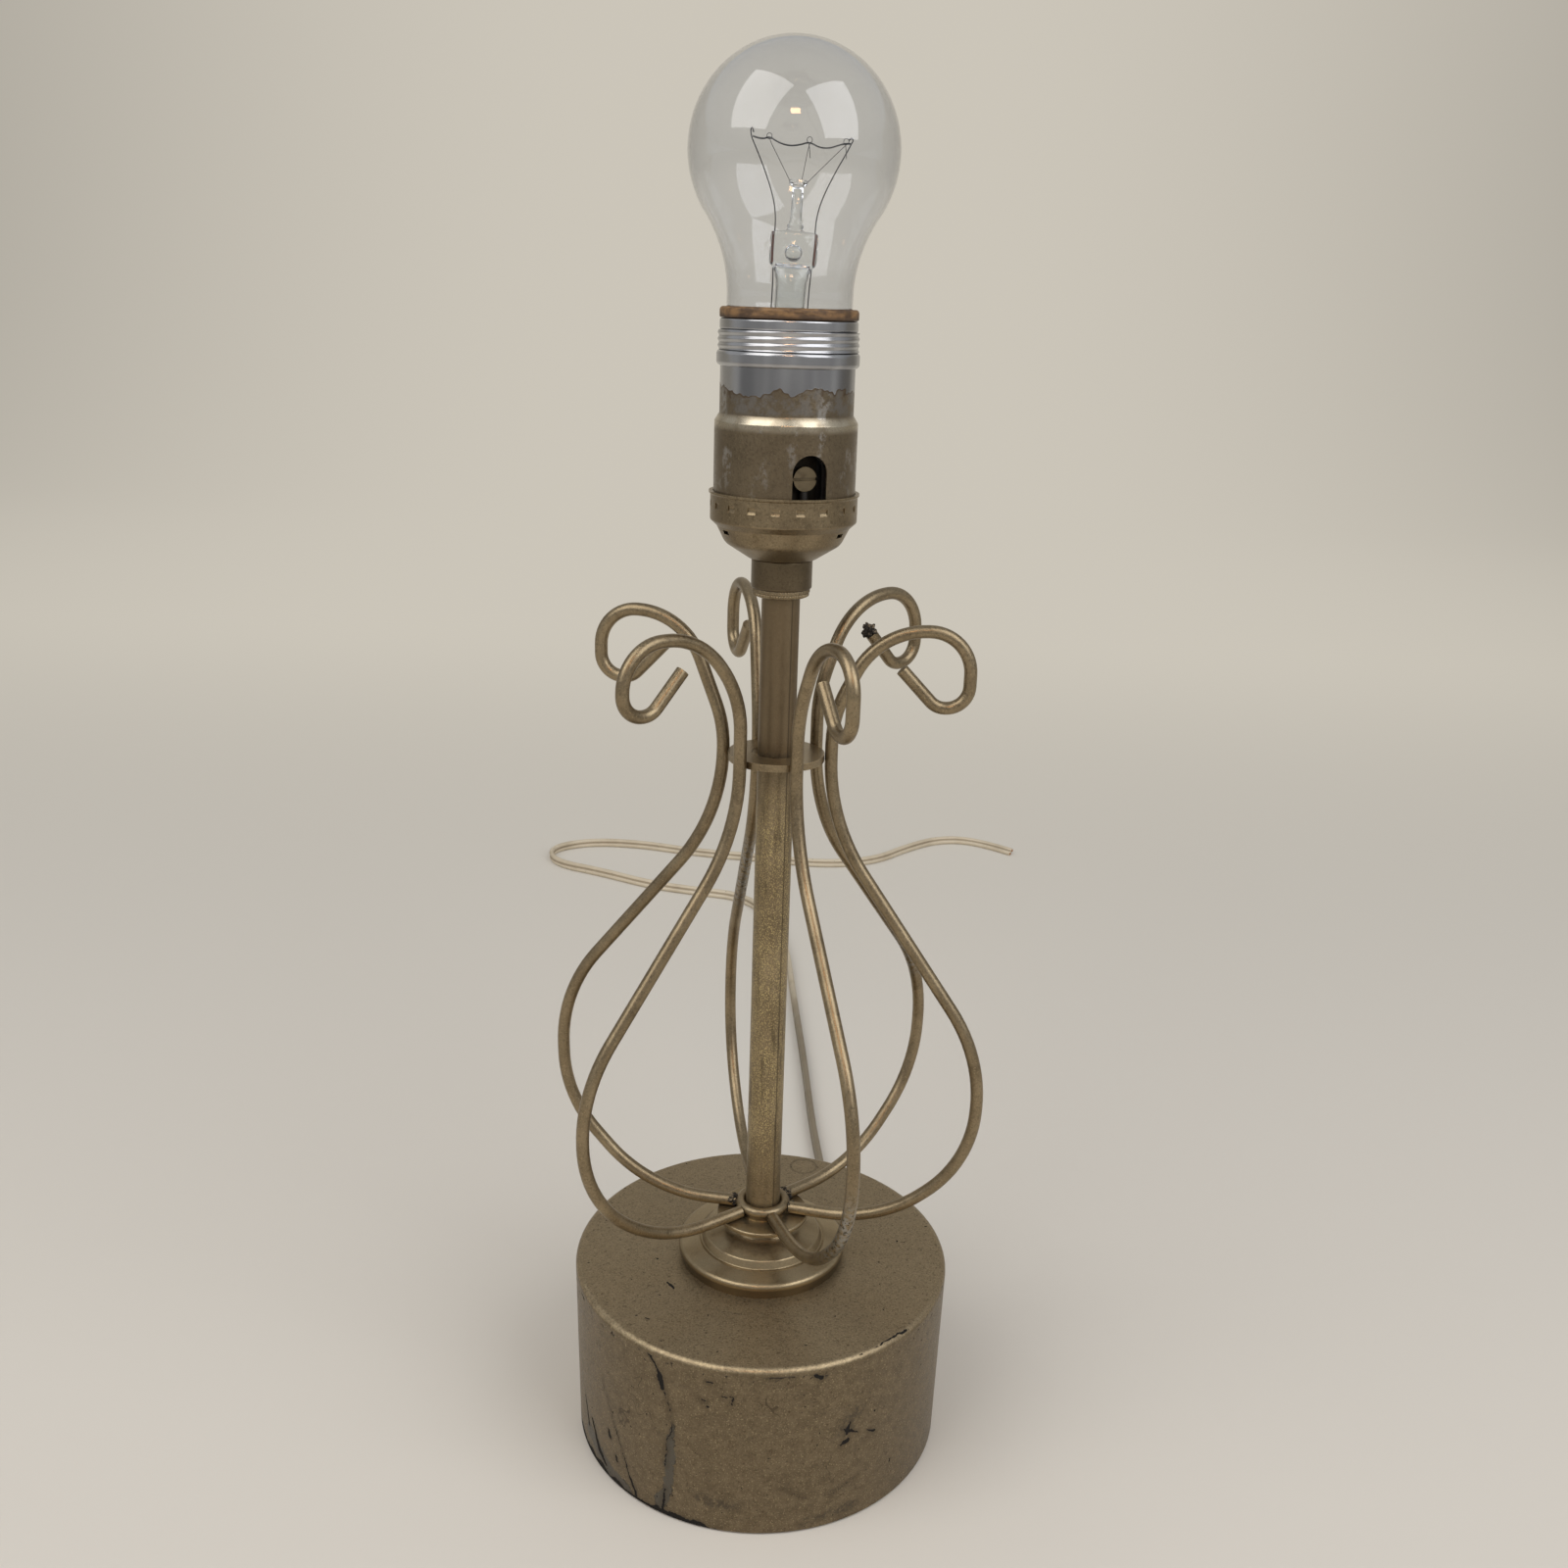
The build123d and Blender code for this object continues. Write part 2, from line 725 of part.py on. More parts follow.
def make_bulb_glass():
    outside, outer_crown, outer_root = glass_profile(0)
    inside, inner_crown, inner_root = glass_profile(glass_wall)
    wall = Wire(outside + [Line(outer_root, inner_root)] + inside + [Line(inner_crown, outer_crown)])
    return revolve(Face(wall), Axis.Z)


def make_bulb_mount():
    base = bulb_cap_top - glass_root
    pinch_base = bulb_cap_top + pinch_rise
    pinch_top = pinch_base + pinch_height
    rod_top = pinch_top + rod_height
    shape = turned([
        (mount_flare, base),
        (mount_tube, base + mount_flare - mount_tube, mount_tube),
        (mount_tube, pinch_base),
        (0, pinch_base),
        (0, pinch_base - mount_tube_wall),
        (mount_tube - mount_tube_wall, pinch_base - mount_tube_wall),
        (mount_tube - mount_tube_wall, base + mount_flare - mount_tube, mount_tube),
        (mount_flare - mount_tube_wall, base),
    ])
    shape += Pos(0, 0, pinch_base - mount_tube_wall) * block(pinch_width, pinch_depth, pinch_height)
    shape += disc(rod_radius, pinch_top - mount_tube_wall, rod_top - pinch_top + mount_tube_wall)
    return shape + disc(button_radius, rod_top, button_height)


def filament_points():
    """The bowed, slightly sagging line of the filament, from lead to lead."""
    height = bulb_cap_top + filament_rise
    return [
        Vector(-filament_half, 0, height),
        Vector(-filament_half / 2, filament_bow, height - filament_sag),
        Vector(0, filament_middle_bow, height - filament_sag / 2),
        Vector(filament_half / 2, filament_bow, height - filament_sag),
        Vector(filament_half, 0, height),
    ]


def make_filament():
    return rod(filament_points(), [2 * filament_bow] * 3, filament_wire)


def make_bulb_leads():
    side = pinch_width / 2 + bulb_lead_wire + slip / 2
    base = bulb_cap_top + glass_lip
    shoulder = bulb_cap_top + pinch_rise + pinch_height
    leads = []
    for sign, end in ((-1, filament_points()[0]), (1, filament_points()[-1])):
        tip = end + Vector(sign, 0, 0) * (filament_wire + bulb_lead_wire)
        points = [Vector(sign * side, 0, base), Vector(sign * side, 0, shoulder), tip]
        leads.append(rod(points, [side], bulb_lead_wire))
    return leads


def make_supports():
    button_top = bulb_cap_top + pinch_rise + pinch_height + rod_height + button_height
    start = button_top + support_wire
    supports = []
    for point in filament_points()[1:-1]:
        foot = Vector(point.X * support_root_share, point.Y * support_root_share, start)
        head = point - Vector(0, 0, filament_wire + support_wire)
        knee = Vector(point.X * support_knee_share, point.Y * support_knee_share, (start + point.Z) / 2)
        supports.append(rod([foot, knee, head], [support_bend], support_wire))
    return supports


def cord_radii(points):
    """The largest bend radii that a cord's runs leave room for."""
    radii = []
    for before, corner, after in zip(points, points[1:], points[2:]):
        run = min((corner - before).length, (after - corner).length)
        radii.append(cord_bend_share * run / tan(radians(turn_at(before, corner, after)) / 2))
    return radii


def cord_tube(points):
    """The plain round tube of the cord, with its bends and its volume printed."""
    radii = cord_radii(points)
    path = FilletPolyline(*points, radius=radii)
    tube = sweep(Plane(origin=path @ 0, z_dir=path % 0) * Circle(cord_diameter / 2), path=path)
    length = Wire(path.edges()).length
    section = pi * cord_diameter**2 / 4
    print("cord bends", [round(radius, 1) for radius in radii])
    print("cord length", round(length, 1), "volume share", round(tube.volume / (section * length), 4))
    return tube


# Cord: out of the grommet, down to the table and along it behind the lamp
exit_reach = drum_radius_at(exit_height) + grommet_rise + grommet_seat + grommet_flange
cord_exit = at(exit_reach, exit_azimuth, exit_height)
lay = 2.7
cord_start = [cord_exit, at(exit_reach + exit_run, exit_azimuth, exit_height)]
cord_route = cord_start + [Vector(*point) for point in [
    (25.5, 90.0, 3.4),
    (24.5, 120.0, lay),
    (20.0, 165.0, lay),
    (17.0, 225.0, lay),
    (12.5, 290.0, lay),
    (9.0, 350.0, lay),
    (1.0, 395.0, lay),
    (-16.0, 427.0, lay),
    (-44.0, 434.0, lay),
    (-72.0, 442.0, lay),
    (-104.0, 461.0, lay),
    (-134.0, 474.0, lay),
    (-141.0, 498.0, lay),
    (-118.0, 514.0, lay),
    (-85.0, 513.0, lay),
    (-50.0, 501.0, lay),
    (-8.0, 494.0, lay),
    (32.0, 486.0, lay),
    (64.0, 495.0, lay),
    (86.0, 521.0, lay),
    (109.0, 540.0, lay),
    (134.0, 538.0, lay),
    (153.0, 519.5, lay),
]]
inner_route = [cord_exit, Vector(0, 0, exit_height), Vector(0, 0, cord_top)]

nodes = {
    "base_drum": make_drum(),
    "base_weight": disc(weight_radius, weight_base, weight_thickness - slip, pipe_clear),
    "base_washer": disc(washer_radius, washer_base, washer_thickness, pipe_clear),
    "base_hex_nut": make_hex_nut(),
    "base_board": disc(board_radius, felt_thickness, board_thickness),
    "base_felt": disc(board_radius - slip, 0, felt_thickness),
    "cord_grommet": make_grommet(),
    "base_flange": make_flange(),
    "seating_cup": make_seating_cup(),
    "cage_lower_ring": Pos(0, 0, ring_height) * Torus(pipe_clear + lower_ring_wire, lower_ring_wire),
    "cage_upper_ring": disc(collar_radius, collar_top - collar_thickness, collar_thickness, collar_hole),
    "stem_pipe": disc(pipe_radius, nut_base - pipe_tail, pipe_top - nut_base + pipe_tail, pipe_bore),
    "neck_locknut": make_locknut(),
    "socket_hub": make_hub(),
    "socket_cap": make_socket_cap(),
    "socket_shell": make_socket_shell(),
    "socket_liner": make_liner(),
    "socket_body": make_socket_body(),
    "terminal_strap_front": make_strap(notch_azimuth),
    "terminal_strap_rear": make_strap(notch_azimuth + 180),
    "terminal_screws": Compound(
        children=[make_terminal_screw(notch_azimuth), make_terminal_screw(notch_azimuth + 180)]
    ),
    "lead_front": make_lead(notch_azimuth),
    "lead_rear": make_lead(notch_azimuth + 180),
    "screw_shell": make_screw_shell(),
    "centre_contact": make_centre_contact(),
    "bulb_contact": make_bulb_contact(),
    "bulb_insulator": make_bulb_insulator(),
    "bulb_cap": make_bulb_cap(),
    "bulb_glass": make_bulb_glass(),
    "bulb_mount": leaning * make_bulb_mount(),
    "bulb_leads": Compound(children=[leaning * lead for lead in make_bulb_leads()]),
    "bulb_supports": Compound(children=[leaning * support for support in make_supports()]),
    "bulb_filament": leaning * make_filament(),
    "cord_inner": rod(inner_route, [inner_bend], cord_diameter / 2),
    "cord": cord_tube(cord_route),
}
for number, bends in enumerate(hand_bends, 1):
    nodes[f"scroll_wire_{number}"] = make_scroll_wire(**bends)

for name, shape in nodes.items():
    export_step(shape, f"parts/{name}.step")
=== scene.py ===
import math
import random

import bmesh
import bpy
from mathutils import Matrix, Vector, noise


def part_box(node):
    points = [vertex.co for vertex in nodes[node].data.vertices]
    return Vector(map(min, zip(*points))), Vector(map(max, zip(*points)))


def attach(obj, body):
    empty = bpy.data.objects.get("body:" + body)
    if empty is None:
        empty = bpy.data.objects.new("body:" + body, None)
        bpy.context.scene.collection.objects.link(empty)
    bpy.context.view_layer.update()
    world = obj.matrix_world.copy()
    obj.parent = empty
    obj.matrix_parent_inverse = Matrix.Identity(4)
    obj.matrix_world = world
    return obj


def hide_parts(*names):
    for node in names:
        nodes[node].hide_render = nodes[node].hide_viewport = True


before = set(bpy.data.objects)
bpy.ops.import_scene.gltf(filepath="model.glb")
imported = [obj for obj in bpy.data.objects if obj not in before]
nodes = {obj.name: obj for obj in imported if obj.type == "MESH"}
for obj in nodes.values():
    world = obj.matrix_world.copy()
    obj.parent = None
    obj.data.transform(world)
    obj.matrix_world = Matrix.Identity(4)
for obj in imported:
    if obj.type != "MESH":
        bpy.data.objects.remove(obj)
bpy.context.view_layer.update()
scene = bpy.context.scene

MM = 0.001

# Heights on the frame that the finishes follow
DRUM_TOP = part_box("base_drum")[1].z
RING_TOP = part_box("cage_lower_ring")[1].z
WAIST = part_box("cage_upper_ring")[0].z
SHELL_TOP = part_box("socket_shell")[1].z
BEAD = SHELL_TOP - 11.6 * MM
PAINT_LINE = SHELL_TOP - 17.5 * MM
SHOULDER = SHELL_TOP - 25.1 * MM

# The photograph's camera: focal length in its pixels, place in metres and tilt in degrees
IMAGE_WIDTH = 1600
FOCAL_PIXELS = 1553
SENSOR_MM = 36
EYE = Vector((0, -0.40386, 0.33225))
PITCH_DEG = 17.361
YAW_DEG = 0.343
ROLL_DEG = 1.83

# Colours, linear
BRONZE = (0.22, 0.168, 0.1)
GOLD = (0.32, 0.25, 0.153)
UMBER = (0.07, 0.052, 0.032)
FLECK = (0.5, 0.4, 0.23)
RUBBED = (0.58, 0.47, 0.29)
CHIPPED = (0.018, 0.016, 0.014)
BARE_STEEL = (0.105, 0.098, 0.082)
SILVER = (0.3, 0.29, 0.26)
ALUMINIUM = (0.53, 0.53, 0.535)
# Dark end of the painted reflection streaks on the bare aluminium
REFLECTION_STREAK_DARK = (0.25, 0.25, 0.258)
TARNISH = (0.115, 0.078, 0.048)
FIBRE = (0.238, 0.133, 0.052)
FIBRE_DARK = (0.078, 0.042, 0.018)
FIBRE_INNER = (0.012, 0.01, 0.009)
CREAM = (0.6, 0.52, 0.385)
CREAM_DIRTY = (0.44, 0.365, 0.25)
# A lighter gold laid over the flange and cup as a painted highlight
FLANGE_PAINTED_HIGHLIGHT = (0.43, 0.34, 0.205)
SIDE_PALE = (0.215, 0.165, 0.1)
SIDE_DARK = (0.15, 0.114, 0.068)
# Lighter copies of the side's tones for the top: painted light
LIT_TOP_PALE = (0.3, 0.232, 0.141)
LIT_TOP_DARK = (0.262, 0.202, 0.121)
STAIN = (0.105, 0.085, 0.058)
SPECK = (0.075, 0.05, 0.03)
SMUDGE = (0.06, 0.052, 0.04)
STEM_FLECK = (0.66, 0.53, 0.25)
STEM_BROWN = (0.165, 0.119, 0.068)
SHELL_BROWN = (0.118, 0.092, 0.062)
THIN_PAINT = (0.22, 0.205, 0.185)
PALE_SPOT = (0.42, 0.4, 0.37)
SHOULDER_RUB = (0.58, 0.51, 0.385)
ROLLED = (0.56, 0.56, 0.565)
SCORCHED = (0.045, 0.024, 0.013)
FELT_PALE = (0.1, 0.14, 0.09)
FELT_DARK = (0.03, 0.05, 0.03)
GLASS_SMOKE = (0.08, 0.1, 0.13)
SLAG = (0.024, 0.019, 0.014)
CORD_GOLD = (0.15, 0.118, 0.075)
DARK_GREY = (0.1, 0.1, 0.1)
FLOOR = (0.66, 0.625, 0.56)
BACKDROP = (0.6, 0.56, 0.485)
SKY = (0.95, 0.97, 1)


class Tree:
    """A node tree, with one short call for each kind of node that it needs."""

    def __init__(self, tree):
        self.nodes = tree.nodes
        self.links = tree.links

    def put(self, socket, value):
        if isinstance(value, bpy.types.NodeSocket):
            self.links.new(value, socket)
        else:
            socket.default_value = (*value, 1) if socket.type == "RGBA" else value

    def node(self, kind, named=None, *inputs, **settings):
        node = self.nodes.new(kind)
        for key, value in settings.items():
            setattr(node, key, value)
        for index, value in enumerate(inputs):
            self.put(node.inputs[index], value)
        for key, value in (named or {}).items():
            self.put(node.inputs[key], value)
        return node

    def math(self, operation, *values):
        return self.node("ShaderNodeMath", None, *values, operation=operation).outputs[0]

    def vector(self, operation, *values, output=0):
        return self.node("ShaderNodeVectorMath", None, *values, operation=operation).outputs[output]

    def number(self, operation, *values):
        """The one number that an operation on two vectors gives."""
        return self.vector(operation, *values, output="Value")


class Look(Tree):
    """A material: its main shader, its colour, its textures and the shares that mix them."""

    def __init__(self, name, **settings):
        self.material = bpy.data.materials.new(name)
        self.material.use_nodes = True
        super().__init__(self.material.node_tree)
        self.shader = self.nodes["Principled BSDF"]
        self.place = self.node("ShaderNodeTexCoord").outputs["Object"]
        self.colour = None
        for socket, value in settings.items():
            self.set(socket.replace("_", " "), value)

    def set(self, name, value):
        self.put(self.shader.inputs[name], value)

    def normal(self):
        return self.node("ShaderNodeNewGeometry").outputs["Normal"]

    def split(self, vector):
        return self.node("ShaderNodeSeparateXYZ", None, vector).outputs

    def join(self, x, y, z):
        return self.node("ShaderNodeCombineXYZ", None, x, y, z).outputs[0]

    def height(self):
        return self.split(self.place)[2]

    def azimuth(self):
        """The angle from the front about the stem, in radians."""
        x, y = self.split(self.place)[:2]
        return self.math("ARCTAN2", x, self.times(y, -1))

    def stretched(self, factor):
        """The place with its height multiplied, which makes marks on it shorter or longer."""
        x, y, z = self.split(self.place)
        return self.join(x, y, self.times(z, factor))

    def noise(self, scale, detail=2, rough=0.5, place=None, output=0):
        named = {"Scale": scale, "Detail": detail, "Roughness": rough}
        named["Vector"] = self.place if place is None else place
        return self.node("ShaderNodeTexNoise", named).outputs[output]

    def patches(self, scale, detail, *limits, rough=0.5, place=None):
        """A noise turned into a share by the limits of a step."""
        return self.step(self.noise(scale, detail, rough, place), *limits)

    def shake(self, place, scale, amount):
        """The place, moved about by a noise of that scale."""
        colour = self.noise(scale, 3, place=place, output=1)
        centred = self.vector("SUBTRACT", colour, (0.5, 0.5, 0.5))
        return self.vector("MULTIPLY_ADD", centred, (amount, amount, amount), place)

    def step(self, value, low, high, out_low=0, out_high=1):
        limits = (low, high, out_low, out_high)
        node = self.node("ShaderNodeMapRange", None, value, *limits, interpolation_type="SMOOTHSTEP")
        return node.outputs[0]

    def mix(self, share, first, second):
        return self.node("ShaderNodeMix", {0: share, 6: first, 7: second}, data_type="RGBA").outputs[2]

    def times(self, first, *others):
        for other in others:
            first = self.math("MULTIPLY", first, other)
        return first

    def most(self, first, second):
        return self.math("MAXIMUM", first, second)

    def gap(self, first, second):
        """How far apart two numbers are."""
        return self.math("ABSOLUTE", self.math("SUBTRACT", first, second))

    def edge(self, radius):
        """One on a convex or concave edge of the mesh, and zero on flat ground."""
        soft = self.node("ShaderNodeBevel", {"Radius": radius}, samples=6).outputs[0]
        return self.step(self.number("DOT_PRODUCT", soft, self.normal()), 0.995, 0.9)

    def coat(self, colour, *shares):
        """Lays a colour over the look's own, by the product of some shares."""
        self.colour = self.mix(self.times(*shares), self.colour, colour)

    def finish(self, height, distance, strength):
        """Colours the surface, raises it by a field of heights and gives the material."""
        named = {"Height": height, "Distance": distance, "Strength": strength}
        self.set("Normal", self.node("ShaderNodeBump", named).outputs[0])
        self.set("Base Color", self.colour)
        return self.material


def stroke_group():
    """A node group: how far a point lies inside a tapering stroke from one place to another."""
    group = bpy.data.node_groups.new("stroke", "ShaderNodeTree")
    for name in ("Point", "Start", "End", "Start Width", "End Width"):
        kind = "NodeSocketFloat" if "Width" in name else "NodeSocketVector"
        group.interface.new_socket(name, in_out="INPUT", socket_type=kind)
    group.interface.new_socket("Depth", in_out="OUTPUT", socket_type="NodeSocketFloat")
    tree = Tree(group)
    point, start, end, start_width, end_width = tree.node("NodeGroupInput").outputs[:5]
    offset = tree.vector("SUBTRACT", point, start)
    stroke = tree.vector("SUBTRACT", end, start)
    along = tree.number("DOT_PRODUCT", offset, stroke)
    share = tree.math("DIVIDE", along, tree.number("DOT_PRODUCT", stroke, stroke))
    share = tree.node("ShaderNodeClamp", None, share, 0, 1).outputs[0]
    nearest = tree.node("ShaderNodeVectorMath", {"Scale": share}, stroke, operation="SCALE").outputs[0]
    away = tree.number("DISTANCE", offset, nearest)
    width = tree.node("ShaderNodeMapRange", None, share, 0, 1, start_width, end_width).outputs[0]
    tree.node("NodeGroupOutput", {"Depth": tree.math("SUBTRACT", width, away)})
    return group


STROKE = stroke_group()


def strokes(look, point, paths):
    """The depth inside the nearest of several polylines of (x, y, width) points, in metres."""
    depth = None
    for path in paths:
        for (x0, y0, w0), (x1, y1, w1) in zip(path, path[1:]):
            ends = [(x0 * MM, y0 * MM, 0), (x1 * MM, y1 * MM, 0)]
            node = look.node("ShaderNodeGroup", None, point, *ends, w0 * MM, w1 * MM, node_tree=STROKE)
            depth = node.outputs[0] if depth is None else look.most(depth, node.outputs[0])
    return depth


def gold_coat(look):
    """Antique gold paint as a look's colour, and the paint's roughness and grain."""
    grain = look.noise(1500, 3, 0.6)
    look.colour = look.mix(look.patches(80, 5, 0.32, 0.7, rough=0.6), BRONZE, GOLD)
    look.coat(UMBER, look.patches(170, 5, 0.56, 0.8, 0, 0.5, rough=0.65))
    look.coat(UMBER, look.step(grain, 0.52, 0.32, 0, 0.35))
    look.coat(FLECK, look.patches(2600, 1, 0.6, 0.72, 0, 0.4))
    return look.step(grain, 0.3, 0.7, 0.28, 0.42), grain


def rubbed_edges(look, radius, low, high):
    """The share of paint that is rubbed off along the edges."""
    return look.times(look.edge(radius), look.patches(500, 3, 0.4, 0.6, low, high))


def finish_gold(look, worn, roughness, grain):
    look.set("Roughness", look.math("MULTIPLY_ADD", worn, -0.1, roughness))
    return look.finish(grain, 0.00005, 0.4)


def gold_paint(name, rub_share, worn_places=(), shade=0):
    """Gold paint, rubbed bright along its edges and worn to speckled metal at some places."""
    look = Look(name, Metallic=0.9)
    roughness, grain = gold_coat(look)
    worn = rubbed_edges(look, 0.0004, 0.15, rub_share)
    look.coat(RUBBED, worn)
    for azimuth, reach, height, radius in worn_places:
        away = look.number("DISTANCE", look.place, around(azimuth, reach, height) * MM)
        near = look.step(away, radius * MM, radius * 0.4 * MM)
        look.coat(SILVER, near, look.patches(900, 4, 0.42, 0.56), 0.8)
        look.coat(UMBER, near, look.patches(1000, 2, 0.56, 0.63), 0.9)
    look.coat(UMBER, shade)
    return finish_gold(look, worn, roughness, grain)


# Painted shade in the corners of the base's fittings: lowest and highest height, and its soft edge, in
# millimetres
SHADED_BANDS = [(54, 59), (70.7, 74)]
SHADE_EDGE = 0.4


def flange_paint():
    """Gold paint on the flange and the cup, lightened all over as a painted highlight, with rubbed edges
    and painted shade in its corners.
    """
    look = Look("flange_gold", Metallic=0.9)
    roughness, grain = gold_coat(look)
    height = look.height()
    worn = rubbed_edges(look, 0.0005, 0.3, 0.75)
    # Lightens the flange and cup all over: a painted highlight standing in for the soft boxes' reflection.
    look.coat(FLANGE_PAINTED_HIGHLIGHT, 0.4)
    look.coat(RUBBED, worn)
    for low, high in SHADED_BANDS:
        above = look.step(height, (low - SHADE_EDGE) * MM, (low + SHADE_EDGE) * MM)
        below = look.step(height, (high + SHADE_EDGE) * MM, (high - SHADE_EDGE) * MM, 0, 0.72)
        # Painted shade: darker bands at the flange's foot by the drum and on the cup's neck under the
        # ring.
        look.coat(UMBER, above, below)
    return finish_gold(look, worn, roughness, grain)


# Wear on the drum: strokes of (arc from the front, height, half width) on its side, in millimetres
DRUM_RADIUS = 56
SIDE_CRACKS = [
    [(-32, 54.2, 0.5), (-29.2, 50.9, 0.35), (-27.8, 46.5, 0.9), (-27.2, 44.2, 0.7)],
    [(-27, 44, 0.3), (-24.6, 37, 0.15), (-24.2, 31, 0.2), (-26, 27, 0.15), (-26.4, 18, 0.2)],
    [(-26.6, 9.7, 0.35), (-27.6, 2, 0.5)],
    [(-52, 33, 0.08), (-48, 25, 0.14), (-43, 14.5, 0.18), (-37.2, 2, 0.5)],
    [(27.7, 34.5, 0.2), (27, 32.5, 0.7), (26.6, 30.7, 0.5)],
    [(25.3, 32.8, 0.25), (26.8, 31.5, 0.5)],
    [(27.4, 31.5, 0.5), (30.5, 29.8, 0.15)],
    [(24.8, 27.3, 0.4), (26.9, 28.4, 0.7)],
    [(33.5, 29, 0.15), (36.1, 27.9, 0.5)],
    [(2.2, 53.6, 0.2), (4.4, 54, 0.3), (10, 54.2, 0.5)],
    [(16, 53.6, 0.5), (17.9, 52.2, 0.7)],
    [(-14, 51, 0.3), (-12, 50.6, 0.2)],
    [(-9.5, 46.6, 0.2), (-6.4, 46.8, 0.2), (-7, 44.4, 0.25)],
    [(-15.5, 44.6, 0.25), (-14.2, 44.2, 0.2)],
    [(22, 10.5, 0.1), (31, 14.8, 0.14)],
    [(8, 16, 0.05), (15, 11.5, 0.09)],
    [(-60, 14, 0.5), (-55.5, 6.5, 1.1), (-51, 3.5, 0.5)],
    [(-66, 18, 0.4), (-63, 10, 0.7)],
    [(-49.5, 17.5, 0.5), (-48.8, 15.6, 0.7)],
    [(-46, 10.5, 0.35), (-45.4, 8.8, 0.5)],
    # The same wear goes on round the back, where the photograph doesn't reach
    [(118, 54, 0.5), (121, 47, 0.3), (119, 38, 0.7), (122, 30, 0.15)],
    [(168, 20, 0.1), (160, 8, 0.2), (158, 2, 0.6)],
    [(-120, 53.5, 0.6), (-113, 53.9, 0.3)],
    [(-140, 26, 0.6), (-137, 24, 0.3)],
    [(84, 12, 0.4), (88, 9, 0.7)],
]
FOOT_CHIPS = [
    [(-74, 1.8, 1.3), (-55, 1.2, 1.2), (-37, 0.8, 0.8), (-22, 1.4, 1.2), (-9, 0.6, 0.3)],
    [(95, 1.2, 1.2), (118, 0.9, 0.8), (140, 1.4, 1.3)],
    [(-150, 1, 1), (-118, 1.3, 1.4)],
]
BARE_STREAKS = [
    [(-24.2, 33, 0.6), (-24.6, 26, 1.5), (-25.2, 18, 1.4), (-26, 9, 1.3), (-28.5, 3, 2)],
    [(-62, 8, 2.6), (-50, 4, 2.2), (-40, 2, 1.2)],
]
SMUDGES = [
    [(-17, 10.6, 1.2), (-11, 10, 2.2), (-5, 9.4, 1.2)],
    [(14, 3, 1), (30, 5, 1.6)],
    [(26, 33, 2.6), (30, 38, 1.6)],
]
TOP_CHIPS = [
    [(33, -44.6, 0.2), (42, -36.6, 0.35)],
    [(39.6, -41.4, 0.7), (41.4, -39.8, 0.25)],
    [(-27.4, -18.2, 0.35), (-25.9, -20, 0.5), (-25.4, -21.4, 0.25)],
    [(-12, -31.2, 0.12), (-5, -32.2, 0.12)],
    [(-32.5, -34.8, 0.3), (-31.4, -35.6, 0.2)],
    [(-42.5, -13.5, 0.1), (-41, -16.2, 0.12)],
    [(-24, 12, 0.15), (-18, 15, 0.12)],
]
STAND_MARK = (13.4 * MM, 47.8 * MM, 0)
STAND_MARK_RADIUS = 4.3 * MM


